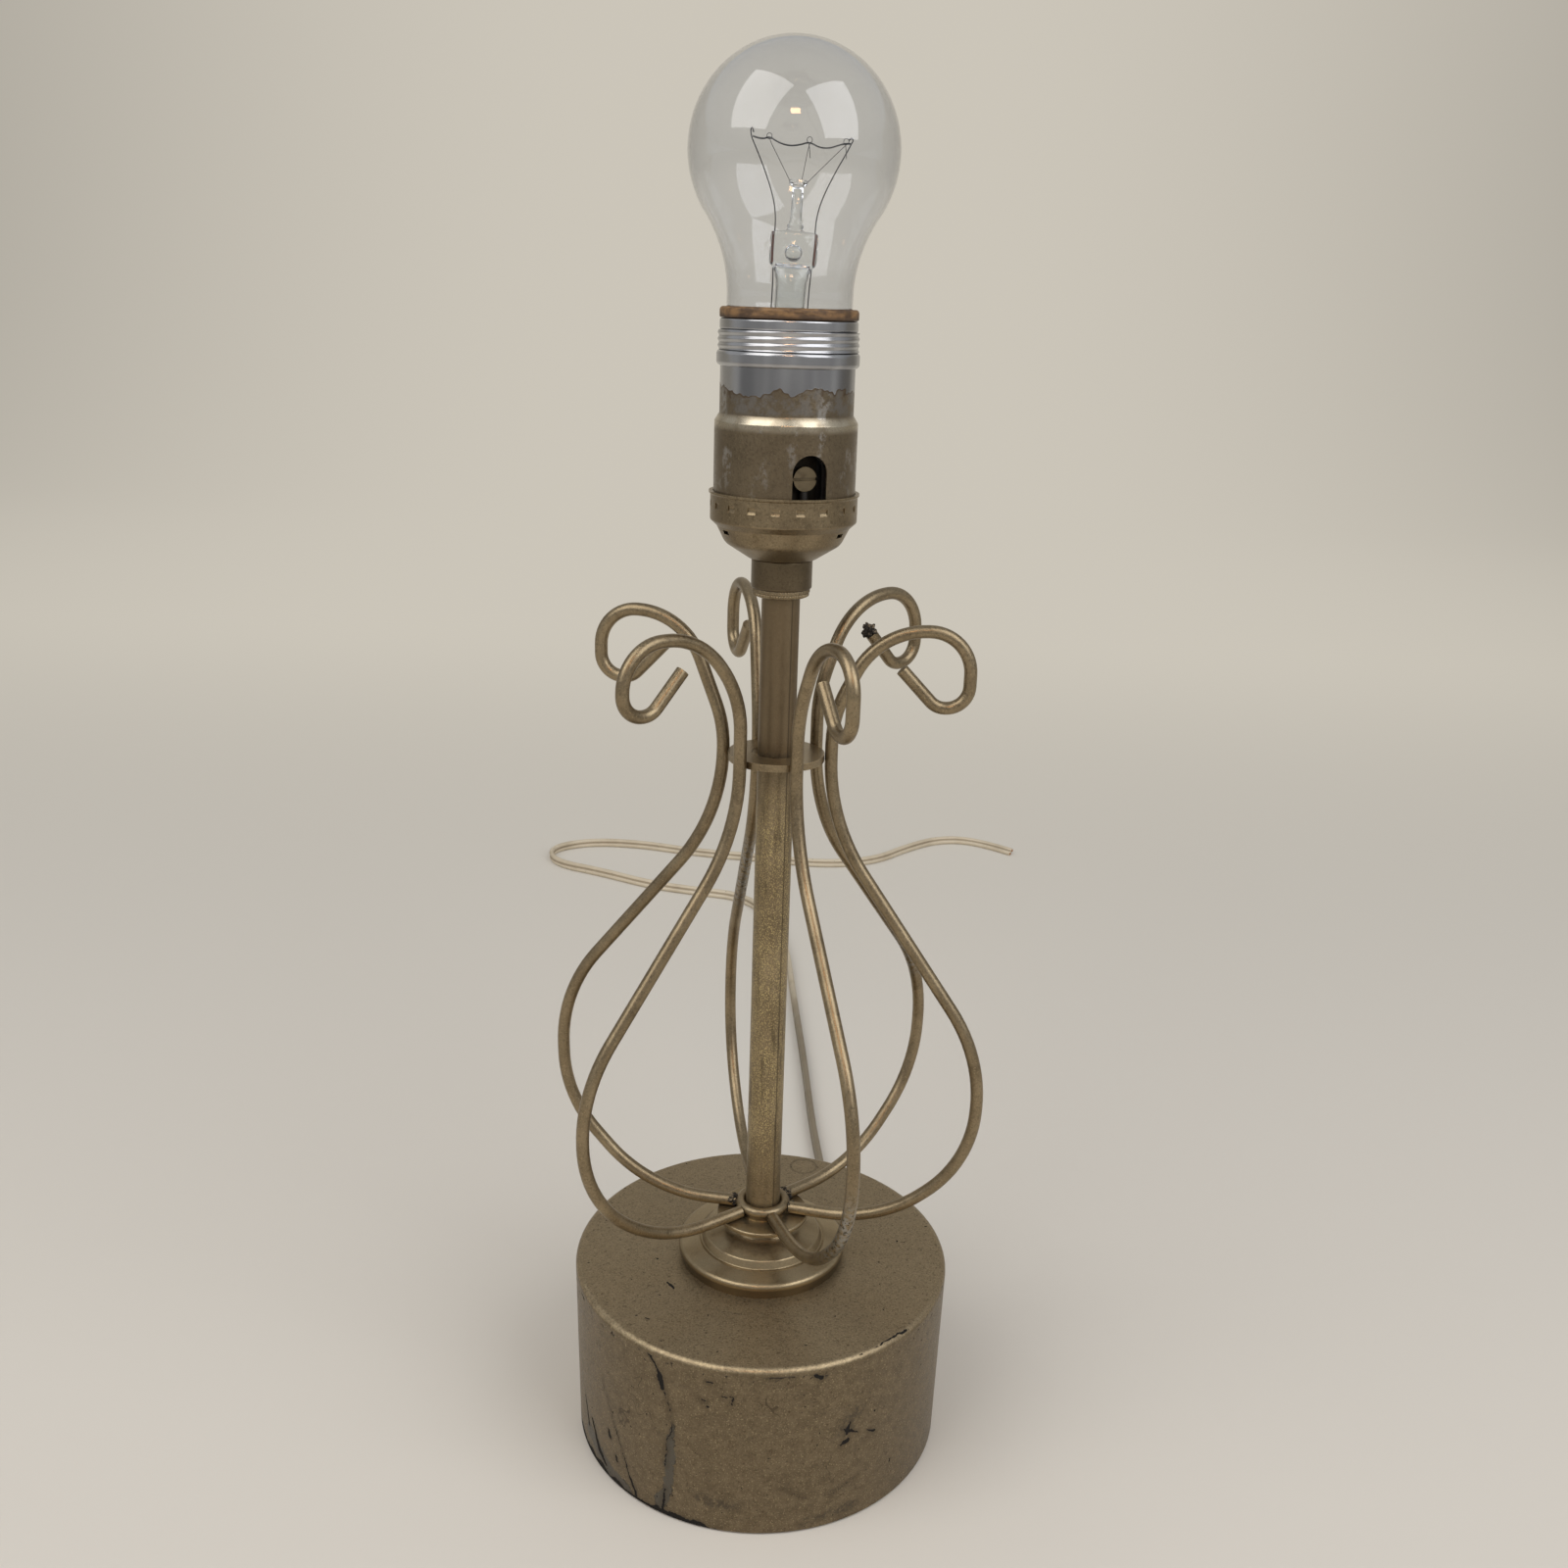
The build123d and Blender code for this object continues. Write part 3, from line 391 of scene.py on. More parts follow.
def drum_paint():
    """Gold paint on the drum, its top lighter as painted light, with its rubbed top edge partly a painted
    highlight, black chips, long cracks and bare foot.
    """
    look = Look("drum_gold", Metallic=0.8)
    x, y, z = look.split(look.place)
    angle = look.azimuth()
    unrolled = look.join(look.times(angle, DRUM_RADIUS * MM), z, 0)
    flat = look.join(x, y, 0)
    top = look.step(z, DRUM_TOP - 1.4 * MM, DRUM_TOP - 0.8 * MM)
    side = look.step(z, DRUM_TOP - 1.7 * MM, DRUM_TOP - 2.7 * MM)

    # Paint: brown with fine mottling, stains, gold sparkle, reddish specks and a few hairlines, its top
    # painted lighter as painted light
    mottle = look.patches(340, 7, 0.34, 0.68, rough=0.72)
    grain = look.noise(1500, 3, 0.6)
    roughness = look.step(grain, 0.3, 0.7, 0.34, 0.48)
    hair_field = look.gap(look.noise(75, 2, place=unrolled), 0.5)
    zones = look.patches(38, 2, 0.6, 0.66, 0, 0.7)
    # The top takes lighter copies of the side's tones: painted light falling on the top.
    upper = look.mix(mottle, LIT_TOP_DARK, LIT_TOP_PALE)
    look.colour = look.mix(top, look.mix(mottle, SIDE_DARK, SIDE_PALE), upper)
    stains = look.patches(130, 8, 0.5, 0.7, 0, 0.45, rough=0.75, place=look.stretched(2.2))
    look.coat(STAIN, stains, side)
    look.coat(UMBER, look.step(grain, 0.54, 0.32, 0, 0.45))
    look.coat(FLECK, look.patches(2400, 1, 0.58, 0.72, 0, 0.45))
    look.coat(SPECK, look.patches(620, 3, 0.63, 0.7, 0, 0.6, rough=0.6))
    look.coat(UMBER, look.step(hair_field, 0.006, 0.002), zones, side)

    # Wear: bare streaks and smudges, the dirt round the cracks and the mark of a stand
    ragged = look.shake(look.shake(unrolled, 420, 1.5 * MM), 1400, 0.7 * MM)
    torn = look.shake(look.shake(unrolled, 230, 3.4 * MM), 900, 1.6 * MM)
    streak_depth = strokes(look, torn, BARE_STREAKS)
    streak_edge = look.step(look.gap(streak_depth, 0), 0.0003, 0.0001, 0, 0.7)
    smudge = look.step(strokes(look, torn, SMUDGES), -0.0012, 0.0012, 0, 0.6)
    cracks = strokes(look, ragged, SIDE_CRACKS)
    side_depth = look.most(cracks, strokes(look, torn, FOOT_CHIPS))
    from_mark = look.number("DISTANCE", flat, STAND_MARK)
    ring = look.step(look.gap(from_mark, STAND_MARK_RADIUS), 0.0006, 0.0002)
    look.coat(BARE_STEEL, look.step(streak_depth, -0.0003, 0.0002, 0, 0.85), side)
    look.coat(CHIPPED, streak_edge, look.patches(260, 3, 0.46, 0.6), side)
    look.coat(SMUDGE, smudge, look.patches(700, 4, 0.36, 0.6, place=unrolled), side)
    look.coat(UMBER, look.step(side_depth, -0.0016, 0, 0, 0.4), side)
    look.coat(UMBER, ring, top, 0.4)

    # The top edge is rubbed in fine sparkling patches, partly a painted highlight, most of all at the
    # front and left of it
    lean = look.split(look.normal())[2]
    rim = look.times(look.step(lean, 0.1, 0.6), look.step(lean, 0.995, 0.9))
    # Strongest toward the front, where the painted highlight faces the camera
    front = look.step(look.gap(angle, -0.28), 1.25, 0.45, 0.12, 0.5)
    patches = look.patches(480, 4, 0.36, 0.6, 0.2, 1, rough=0.6)
    look.coat(RUBBED, rim, front, patches, look.patches(1700, 2, 0.4, 0.6, 0.35, 1))

    # Black chips and pits lie over it all
    top_depth = strokes(look, look.shake(flat, 500, 1.2 * MM), TOP_CHIPS)
    side_chips = look.times(side, look.step(side_depth, -0.00004, 0.00008))
    chips = look.most(side_chips, look.times(top, look.step(top_depth, -0.00004, 0.00008)))
    pits = look.patches(650, 2, 0.725, 0.75, place=look.shake(look.place, 300, 0.002))
    under_rim = look.times(look.step(z, DRUM_TOP - 4.7 * MM, DRUM_TOP - 2.7 * MM), side)
    pits = look.most(pits, look.times(under_rim, look.patches(520, 3, 0.61, 0.67)))
    chips = look.most(chips, pits)
    look.coat(CHIPPED, chips)
    look.set("Metallic", look.step(chips, 0, 1, 0.8, 0.1))
    look.set("Specular IOR Level", look.step(chips, 0, 1, 0.5, 0.08))
    look.set("Roughness", look.math("MULTIPLY_ADD", chips, 0.25, roughness))
    return look.finish(look.math("MULTIPLY_ADD", chips, -1.6, grain), 0.00007, 0.6)


def stem_paint():
    """Gold paint on the pipe: fine bright flecks below the waist, darker above it, and its seam."""
    look = Look("stem_gold", Metallic=0.85)
    roughness, grain = gold_coat(look)
    z = look.height()
    shade = look.step(z, WAIST - 8.3 * MM, WAIST + 8.7 * MM, 0, 0.75)
    stain = look.times(look.patches(90, 3, 0.4, 0.65), 0.3)
    seam = look.step(look.gap(look.azimuth(), math.radians(38)), 0.05, 0.02)
    below = look.step(z, WAIST - 1.3 * MM, WAIST - 17.3 * MM)
    stretch = look.times(below, look.step(z, RING_TOP + 3.4 * MM, RING_TOP + 30.4 * MM, 0.15, 1))
    flecks = look.patches(3600, 2, 0.52, 0.62, 0, 0.75, place=look.stretched(0.7))
    drips = look.patches(420, 3, 0.56, 0.66, 0, 0.5, place=look.stretched(0.12))
    look.coat(STEM_FLECK, flecks, stretch)
    look.coat(STEM_BROWN, look.most(shade, stain))
    look.coat(UMBER, drips, stretch)
    look.coat(UMBER, seam, 0.7)
    look.set("Roughness", look.math("ADD", roughness, 0.08))
    return look.finish(look.math("MULTIPLY_ADD", seam, -1.5, grain), 0.00007, 0.6)


def shell_metal():
    """Bare aluminium with vertical streaks of painted reflection above a scalloped paint line, gold paint
    below it, and a rubbed bright shoulder.
    """
    look = Look("shell_metal")
    roughness, grain = gold_coat(look)
    z = look.height()
    scallops = look.math("MULTIPLY_ADD", look.noise(360, 1), 0.005, z)
    lowered = look.math("SUBTRACT", scallops, 0.0055)
    level = look.math("MULTIPLY_ADD", look.noise(75, 1), 0.006, lowered)
    bare = look.step(level, PAINT_LINE - 0.0001, PAINT_LINE + 0.0001)
    painted = look.math("SUBTRACT", 1, bare)
    stain = look.step(level, PAINT_LINE - 0.0008, PAINT_LINE - 0.0001)
    thin = look.step(z, SHOULDER + 0.0014, SHOULDER + 0.003)
    ragged = look.patches(260, 5, 0.4, 0.6, 0.1, 0.95, rough=0.65)
    above = look.step(z, SHOULDER - 0.0024, SHOULDER - 0.0004)
    below = look.step(z, SHOULDER + 0.0022, SHOULDER + 0.0006)
    rubbed = look.times(above, below, look.patches(210, 4, 0.3, 0.54, 0.35, 0.9))
    runs = look.patches(150, 4, 0.54, 0.66, 0, 0.65, place=look.stretched(0.5))
    high = look.step(z, SHOULDER - 17.4 * MM, SHOULDER - 3.4 * MM, 0.45, 1)
    look.coat(SHELL_BROWN, 0.6)
    look.coat(THIN_PAINT, thin, painted, ragged, 0.8)
    look.coat(PALE_SPOT, runs, high, look.patches(560, 5, 0.44, 0.58, rough=0.7))
    look.coat(TARNISH, stain, painted, 0.9)
    look.coat(SHOULDER_RUB, rubbed)
    # Vertical dark and light streaks on the bare aluminium are painted reflections.
    painted_reflection_streaks = look.patches(105, 2, 0.34, 0.68, place=look.stretched(0.12))
    metal = look.mix(painted_reflection_streaks, REFLECTION_STREAK_DARK, ALUMINIUM)
    rolled = look.step(z, BEAD - 0.0002, BEAD + 0.0004)
    look.coat(look.mix(look.times(rolled, 0.3), metal, ROLLED), bare)
    shine = look.most(bare, rubbed)
    look.set("Metallic", look.step(shine, 0, 1, 0.85, 1))
    polish = look.math("SUBTRACT", look.step(rolled, 0, 1, 0.25, 0.24), roughness)
    look.set("Roughness", look.math("MULTIPLY_ADD", shine, polish, roughness))
    return look.finish(look.times(grain, look.math("SUBTRACT", 1, shine)), 0.00005, 0.4)


def fibre_board(name, colour, dark):
    """Pressed paper fibre, mottled along its layers."""
    look = Look(name, Roughness=0.72)
    mottle = look.patches(300, 5, 0.32, 0.7, rough=0.65, place=look.stretched(3))
    look.colour = look.mix(mottle, dark, colour)
    return look.finish(look.math("ADD", mottle, look.noise(2200, 2)), 0.00008, 0.5)


def liner_fibre():
    """Orange-brown fibre on the lip, darker at its foot, and blackened inside the shell."""
    look = Look("liner_fibre", Roughness=0.6)
    z = look.height()
    mottle = look.patches(240, 5, 0.36, 0.62, rough=0.65, place=look.stretched(2))
    edge = look.math("MULTIPLY_ADD", look.noise(420, 3), 1.2 * MM, z)
    # Darker towards the lip's foot, where it meets the shell's rim.
    foot_darkening = look.step(edge, SHELL_TOP + 0.0021, SHELL_TOP + 0.0009, 0, 0.75)
    scorched = look.step(edge, SHELL_TOP + 0.003, SHELL_TOP + 0.0034, 0, 0.3)
    look.colour = look.mix(mottle, FIBRE_DARK, FIBRE)
    look.coat(SCORCHED, look.most(foot_darkening, scorched))
    look.coat(FIBRE_INNER, look.step(z, SHELL_TOP + 0.0001, SHELL_TOP - 0.0001))
    return look.finish(look.math("ADD", mottle, look.noise(1500, 3)), 0.00012, 0.6)


def plain_metal(name, colour, roughness, mark=DARK_GREY, mark_share=0.35):
    """Bare or plated metal, with faint tarnish and scratches."""
    look = Look(name, Metallic=1)
    dull = look.patches(240, 4, 0.45, 0.75, 0, mark_share)
    fine = look.noise(1800, 2)
    polish = look.step(fine, 0.3, 0.7, roughness, roughness + 0.08)
    look.colour = look.mix(dull, colour, mark)
    look.set("Roughness", look.math("MULTIPLY_ADD", dull, 0.5, polish))
    return look.finish(fine, 0.00003, 0.3)


def moulded(name, colour, roughness, speck=DARK_GREY):
    """Moulded plastic or rubber, with a fine skin and a little dust."""
    look = Look(name)
    dust = look.patches(350, 4, 0.5, 0.8, 0, 0.35)
    look.colour = look.mix(dust, colour, speck)
    look.set("Roughness", look.math("MULTIPLY_ADD", dust, 0.3, roughness))
    return look.finish(look.noise(1500, 2), 0.00004, 0.4)


def felt_cloth():
    """Short green felt."""
    look = Look("felt", Roughness=0.95, Sheen_Weight=0.4)
    fuzz = look.noise(1600, 4, 0.7)
    look.colour = look.mix(fuzz, FELT_DARK, FELT_PALE)
    return look.finish(fuzz, 0.0003, 0.8)


def clear_glass(name, colour, smoke=0):
    """Clear glass, greyer where more of its wall is seen through."""
    look = Look(name, Roughness=0, IOR=1.5, Base_Color=colour, Transmission_Weight=1)
    if smoke:
        haze = look.node("ShaderNodeVolumeAbsorption", {"Color": GLASS_SMOKE, "Density": smoke})
        look.links.new(haze.outputs[0], look.nodes["Material Output"].inputs["Volume"])
    return look.material


def weld_crust():
    """Burnt black weld with gold paint caught on its tops."""
    look = Look("weld_crust", Metallic=0.3)
    crust = look.noise(900, 4, 0.7)
    lean = look.split(look.normal())[2]
    caught = look.times(look.step(crust, 0.48, 0.6), look.step(lean, 0, 0.7, 0, 0.8))
    look.colour = look.mix(caught, SLAG, GOLD)
    look.set("Roughness", look.step(crust, 0.3, 0.7, 0.85, 0.45))
    return look.finish(crust, 0.0004, 1)


def cord_vinyl(name, cream, dirty):
    """Aged vinyl, overpainted gold where it leaves the base."""
    look = Look(name)
    y = look.split(look.place)[1]
    dirt = look.patches(60, 4, 0.4, 0.72, 0, 0.6)
    edge = look.math("MULTIPLY_ADD", look.noise(45, 3), 0.07, y)
    look.colour = look.mix(dirt, cream, dirty)
    look.coat(UMBER, look.patches(700, 2, 0.7, 0.75, 0, 0.6))
    look.coat(CORD_GOLD, look.step(edge, 0.4, 0.27, 0, 0.9))
    look.set("Roughness", look.step(dirt, 0, 0.5, 0.38, 0.55))
    return look.finish(look.noise(900, 2), 0.00005, 0.3)


def new_object(name, data):
    made = bpy.data.objects.new(name, data)
    scene.collection.objects.link(made)
    return made


def add_piece(name, data, material, body, replaced):
    """A piece of the lamp, on its body, with its finish and the nodes that it stands for."""
    data.materials.append(material)
    piece = new_object(name, data)
    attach(piece, body)
    if replaced:
        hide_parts(*replaced)
    return piece


def add_mesh(name, verts, faces, material, body, replaced=()):
    mesh = bpy.data.meshes.new(name)
    mesh.from_pydata([tuple(vert) for vert in verts], [], faces)
    mesh.validate()
    mesh.shade_smooth()
    return add_piece(name, mesh, material, body, replaced)


def ring_faces(levels, count):
    """The faces between stacked rings of vertices, with the same count on each ring."""
    faces = []
    for low in range(0, (levels - 1) * count, count):
        high = low + count
        for index in range(count):
            after = (index + 1) % count
            faces.append((low + index, low + after, high + after, high + index))
    return faces


def ease(share):
    return share * share * (3 - 2 * share)


def lengths_along(points):
    """How far along its line each point lies."""
    lengths = [0]
    for before, after in zip(points, points[1:]):
        lengths.append(lengths[-1] + (after - before).length)
    return lengths


def lathe(profile, segments):
    """Vertices and faces of a profile of (radius, height) points turned about Z, in metres."""
    verts, faces, rings = [], [], []
    for radius, height in profile:
        count = segments if radius > 0 else 1
        rings.append([len(verts) + index % count for index in range(segments)])
        for index in range(count):
            turn = 2 * math.pi * index / segments
            verts.append(Vector((radius * math.cos(turn), radius * math.sin(turn), height)))
    for upper, lower in zip(rings, rings[1:]):
        for index in range(segments):
            after = (index + 1) % segments
            faces.append(list(dict.fromkeys((lower[index], lower[after], upper[after], upper[index]))))
    return verts, faces


def arc(centre, radius, start_deg, end_deg, count):
    """Points of (radius, height) on an arc about a centre."""
    points = []
    for index in range(count + 1):
        turn = math.radians(start_deg + (end_deg - start_deg) * index / count)
        points.append((centre[0] + radius * math.cos(turn), centre[1] + radius * math.sin(turn)))
    return points


def wires(name, lines, radius, material, body, replaced=(), roundness=3):
    """Round wires, each along a smooth line near its points."""
    curve = bpy.data.curves.new(name, "CURVE")
    curve.dimensions = "3D"
    curve.bevel_depth = radius
    curve.bevel_resolution = roundness
    curve.use_fill_caps = True
    for points in lines:
        add_spline(curve, points)
    return add_piece(name, curve, material, body, replaced)


def add_spline(curve, points):
    spline = curve.splines.new("NURBS")
    spline.points.add(len(points) - 1)
    for target, point in zip(spline.points, points):
        target.co = (*point, 1)
    spline.order_u = 3
    spline.use_endpoint_u = True
    spline.resolution_u = 10


def smooth_line(route):
    """Points along the smooth line that a route's points steer."""
    curve = bpy.data.curves.new("route", "CURVE")
    curve.dimensions = "3D"
    add_spline(curve, route)
    guide = bpy.data.objects.new("route", curve)
    mesh = bpy.data.meshes.new_from_object(guide)
    points = [vert.co.copy() for vert in mesh.vertices]
    bpy.data.objects.remove(guide)
    bpy.data.curves.remove(curve)
    bpy.data.meshes.remove(mesh)
    return points


def dress(material, *names):
    """Gives CAD nodes their material."""
    for name in names:
        mesh = nodes[name].data
        mesh.materials.clear()
        mesh.materials.append(material)


# Bulb
bulb_low, bulb_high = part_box("bulb_glass")
CAP_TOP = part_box("bulb_cap")[1].z
GLASS_RADIUS = (bulb_high.x - bulb_low.x) / 2
GLASS_CENTRE = bulb_high.z - GLASS_RADIUS
GLASS_NECK = 0.016
GLASS_NECK_TOP = CAP_TOP + 0.007
GLASS_SHOULDER = CAP_TOP + 0.0042
GLASS_LIP = CAP_TOP + 0.0012
GLASS_ROOT_RADIUS = 0.0114
GLASS_WALL = 0.0006
CROWN_STEPS = 60
SWEEP_STEPS = 24
ROOT_STEPS = 12
GLASS_SIDES = 128


def glass_side(inset):
    """The bulb's profile from its crown to its root, set in by a wall's thickness."""
    drop = GLASS_CENTRE - GLASS_NECK_TOP
    sweep = (GLASS_NECK**2 + drop**2 - GLASS_RADIUS**2) / (2 * (GLASS_RADIUS - GLASS_NECK))
    pivot = (GLASS_NECK + sweep, GLASS_NECK_TOP)
    slope = math.degrees(math.atan2(drop, pivot[0]))
    profile = arc((0, GLASS_CENTRE), GLASS_RADIUS - inset, 90, -slope, CROWN_STEPS)
    profile += arc(pivot, sweep + inset, 180 - slope, 180, SWEEP_STEPS)[1:]
    neck = GLASS_NECK - inset
    root = GLASS_ROOT_RADIUS - inset
    for index in range(ROOT_STEPS + 1):
        share = index / ROOT_STEPS
        height = GLASS_SHOULDER + (GLASS_LIP - GLASS_SHOULDER) * share
        profile.append((neck + (root - neck) * ease(share), height))
    profile.append((root, bulb_low.z))
    profile[0] = (0, GLASS_CENTRE + GLASS_RADIUS - inset)
    return profile


def make_glass(material):
    """The bulb's thin wall, outside and inside, turned as one closed skin."""
    profile = glass_side(0) + glass_side(GLASS_WALL)[::-1]
    verts, faces = lathe(profile, GLASS_SIDES)
    add_mesh("bulb_envelope", verts, faces, material, "bulb", ["bulb_glass"])


# What stands inside the bulb, in millimetres above the top of its cap
MOUNT_SECTIONS = [
    (-12, 9.3, 9.3), (-10.5, 7.6, 7.6), (-8.5, 5.7, 5.7), (-6, 4.6, 4.6), (-2, 4.05, 4.05),
    (6, 3.9, 3.9), (10.5, 3.95, 3.9), (12.6, 4.4, 3.3), (13.9, 5, 2.5), (14.6, 5.8, 2),
    (15.4, 6, 1.8), (21.6, 6, 1.7), (22.2, 5.8, 1.6), (22.5, 5, 1.4), (22.6, 3.6, 1.3),
    (22.7, 2.4, 1.3), (23.2, 1.9, 1.5), (23.9, 2.1, 1.7), (24.5, 1.7, 1.6), (25.2, 1.45, 1.45),
    (32.6, 1.35, 1.35), (33.1, 1.7, 1.7), (33.5, 2.25, 2.25), (34.1, 2.4, 2.4), (34.5, 2.2, 2.2),
    (34.6, 1.4, 1.4),
]
MOUNT_SIDES = 48
MOUNT_WALL = 0.5
HOLLOW_WEDGE = [(12.6, 3.7, 2.5), (13.9, 4.1, 1.3), (14.5, 4.3, 0.3)]
ROUND_POWER = 2
FLAT_POWER = 3.2
# The hole in the pinch: its rise, its half height, half width and half depth, and its rings
HOLE_RISE = 17.4
HOLE_HALF = (2.1, 2.2, 1)
HOLE_RINGS = 16
MOUNT_LEAN = math.radians(2.6)
MOUNT_PIVOT = 6
FILAMENT_RISE = 43.7
FILAMENT_LINE = [
    (-12, 0, 0), (-9.6, 1.2, -0.5), (-8, 2.2, 0.5), (-5.6, 3.2, -0.7), (-3, 3.7, -1.2),
    (-0.4, 3.9, -0.8), (2, 3.8, 0.1), (4.4, 3.4, -1.1), (7, 2.6, -1.2), (9.4, 1.8, -0.3),
    (11, 1, 0.1), (12, 0, 0),
]
SUPPORTS = [((-2.2, 0.3), (-8, 2.2), 0.1), ((0.7, 1), (2, 3.8), -3.6), ((2.3, 0.4), (11, 1), -3.4)]
BUTTON_RISE = 34.2
# A pigtail: its half width and height, its rise over the filament, its start and its advance at each step
PIGTAIL_WIDE = 0.7
PIGTAIL_TALL = 0.75
PIGTAIL_RISE = 0.55
PIGTAIL_BACK = 0.3
PIGTAIL_ADVANCE = 0.08
FILAMENT_TURNS = 110
STEPS_PER_TURN = 8
COIL_RADIUS = 0.17 * MM
FINE_WIRE = 0.08 * MM
LEAD_WIRE = 0.16 * MM
SEALED_WIRE = 0.26 * MM


def above_cap(x, y, rise):
    """A point of the leaning mount in metres, from millimetres and a height above the bulb's cap."""
    above = rise - MOUNT_PIVOT
    across = x * math.cos(MOUNT_LEAN) + above * math.sin(MOUNT_LEAN)
    up = MOUNT_PIVOT + above * math.cos(MOUNT_LEAN) - x * math.sin(MOUNT_LEAN)
    return Vector((across * MM, y * MM, CAP_TOP + up * MM))


def loft(sections):
    """Vertices and faces of stacked oval sections of (rise, half width, half depth)."""
    verts = []
    for rise, wide, deep in sections:
        power = ROUND_POWER if abs(wide - deep) < 0.5 else FLAT_POWER
        for index in range(MOUNT_SIDES):
            turn = 2 * math.pi * index / MOUNT_SIDES
            cosine, sine = math.cos(turn), math.sin(turn)
            x = math.copysign(abs(cosine) ** (2 / power), cosine) * wide
            y = math.copysign(abs(sine) ** (2 / power), sine) * deep
            verts.append(above_cap(x, y, rise))
    return verts, ring_faces(len(sections), MOUNT_SIDES)


def pinch_hole():
    """Sections of the round hole through the pinch, by which the bulb was emptied of air."""
    tall, wide, deep = HOLE_HALF
    sections = []
    for ring in range(1, HOLE_RINGS):
        turn = math.pi * ring / HOLE_RINGS
        sections.append((HOLE_RISE - tall * math.cos(turn), wide * math.sin(turn), deep * math.sin(turn)))
    return sections


def add_hollow(verts, faces, sections):
    """Adds a hollow's walls and its top, facing inwards, and gives the index of its first vertex."""
    start = len(verts)
    inner_verts, inner_faces = loft(sections)
    verts += inner_verts
    faces += [tuple(start + index for index in face[::-1]) for face in inner_faces]
    faces.append(tuple(range(len(verts) - MOUNT_SIDES, len(verts)))[::-1])
    return start


def make_mount(material):
    """The flared glass tube, its flat pinch, and the rod and button that carry the supports."""
    verts, faces = loft(MOUNT_SECTIONS)
    faces.append(tuple(range(len(verts) - MOUNT_SIDES, len(verts))))
    hollow = [
        (rise, wide - MOUNT_WALL, deep - MOUNT_WALL)
        for rise, wide, deep in MOUNT_SECTIONS if rise < HOLLOW_WEDGE[0][0]
    ]
    start = add_hollow(verts, faces, hollow + HOLLOW_WEDGE)
    for index in range(MOUNT_SIDES):
        after = (index + 1) % MOUNT_SIDES
        faces.append((after, index, start + index, start + after))
    start = add_hollow(verts, faces, pinch_hole())
    faces.append(tuple(range(start, start + MOUNT_SIDES)))
    add_mesh("bulb_stem_glass", verts, faces, material, "bulb", ["bulb_mount"])


LEAD_LOWER = [(4.6, 1.2), (4.6, 6), (4.7, 12), (4.95, 15.2)]
LEAD_SEALED = [(4.95, 14.9), (5.15, 18), (5.1, 22)]
LEAD_UPPER = [(5.1, 21.8), (4.9, 25), (5.9, 30), (8.6, 36.4), (11.5, 42)]
LEAD_HOOKS = [
    (-1, [(12.3, 43.4), (12.7, 45.2), (12.2, 45.9), (11.9, 44.6)]),
    (1, [(12.2, 43.6), (12.7, 44.5), (12.2, 45.2), (11.6, 44.4)]),
]


def lead_line(side, points):
    return [above_cap(side * x, 0, rise) for x, rise in points]


def make_bulb_leads(nickel, copper):
    """Two lead wires, copper red where the pinch seals them, hooked round the filament's ends."""
    lower = [lead_line(side, LEAD_LOWER) for side, hook in LEAD_HOOKS]
    sealed = [lead_line(side, LEAD_SEALED) for side, hook in LEAD_HOOKS]
    upper = [lead_line(side, LEAD_UPPER + hook) for side, hook in LEAD_HOOKS]
    wires("bulb_lead_wires", lower + upper, LEAD_WIRE, nickel, "bulb", ["bulb_leads"])
    wires("bulb_lead_seals", sealed, SEALED_WIRE, copper, "bulb")


def make_supports(material):
    """Three fine wires from the button, each with a pigtail round the filament and a loose tail."""
    lines = []
    for (root_x, root_y), (x, y), tail in SUPPORTS:
        line = [above_cap(root_x, root_y, BUTTON_RISE)]
        line.append(above_cap((root_x + x) / 2, (root_y + y) / 2, (BUTTON_RISE + FILAMENT_RISE) / 2))
        for index in range(9):
            turn = math.radians(-90 + 45 * index)
            rise = FILAMENT_RISE + PIGTAIL_RISE + PIGTAIL_TALL * math.sin(turn)
            depth = y - PIGTAIL_BACK + PIGTAIL_ADVANCE * index
            line.append(above_cap(x + PIGTAIL_WIDE * math.cos(turn), depth, rise))
        line.append(above_cap(x + 0.4, y + 0.4, FILAMENT_RISE + tail))
        lines.append(line)
    wires("filament_supports", lines, FINE_WIRE, material, "bulb", ["bulb_supports"])


def make_filament(material):
    """A fine coil wound along the bowed line between the two leads."""
    line = smooth_line([above_cap(x, y, FILAMENT_RISE + rise) for x, y, rise in FILAMENT_LINE])
    steps = lengths_along(line)
    count = FILAMENT_TURNS * STEPS_PER_TURN
    points, place = [], 0
    for index in range(count + 1):
        along = steps[-1] * index / count
        while place < len(steps) - 2 and steps[place + 1] < along:
            place += 1
        share = (along - steps[place]) / (steps[place + 1] - steps[place])
        turn = 2 * math.pi * index / STEPS_PER_TURN
        ahead = (line[place + 1] - line[place]).normalized()
        across = ahead.cross(Vector((0, 0, 1))).normalized()
        lift = across.cross(ahead)
        centre = line[place].lerp(line[place + 1], share)
        points.append(centre + (across * math.cos(turn) + lift * math.sin(turn)) * COIL_RADIUS)
    wires("filament_coil", [points], FINE_WIRE, material, "bulb", ["bulb_filament"], 1)


# Lock nut under the hub: two knurled bands with a groove between them
NUT_TEETH = 64
STEPS_PER_TOOTH = 6
KNURL_DEPTH = 0.16
NUT_PROFILE = [
    (5.2, 0, 0), (6.5, 0, 0), (7.1, 0.25, 0), (7.45, 0.45, 1), (7.5, 0.75, 1), (7.5, 1, 1),
    (7.2, 1.15, 0), (7.2, 1.3, 0), (7.65, 1.4, 0), (7.7, 1.6, 0.5), (7.7, 2.1, 0.5), (7.55, 2.3, 0),
    (5.2, 2.3, 0), (5.2, 0, 0),
]


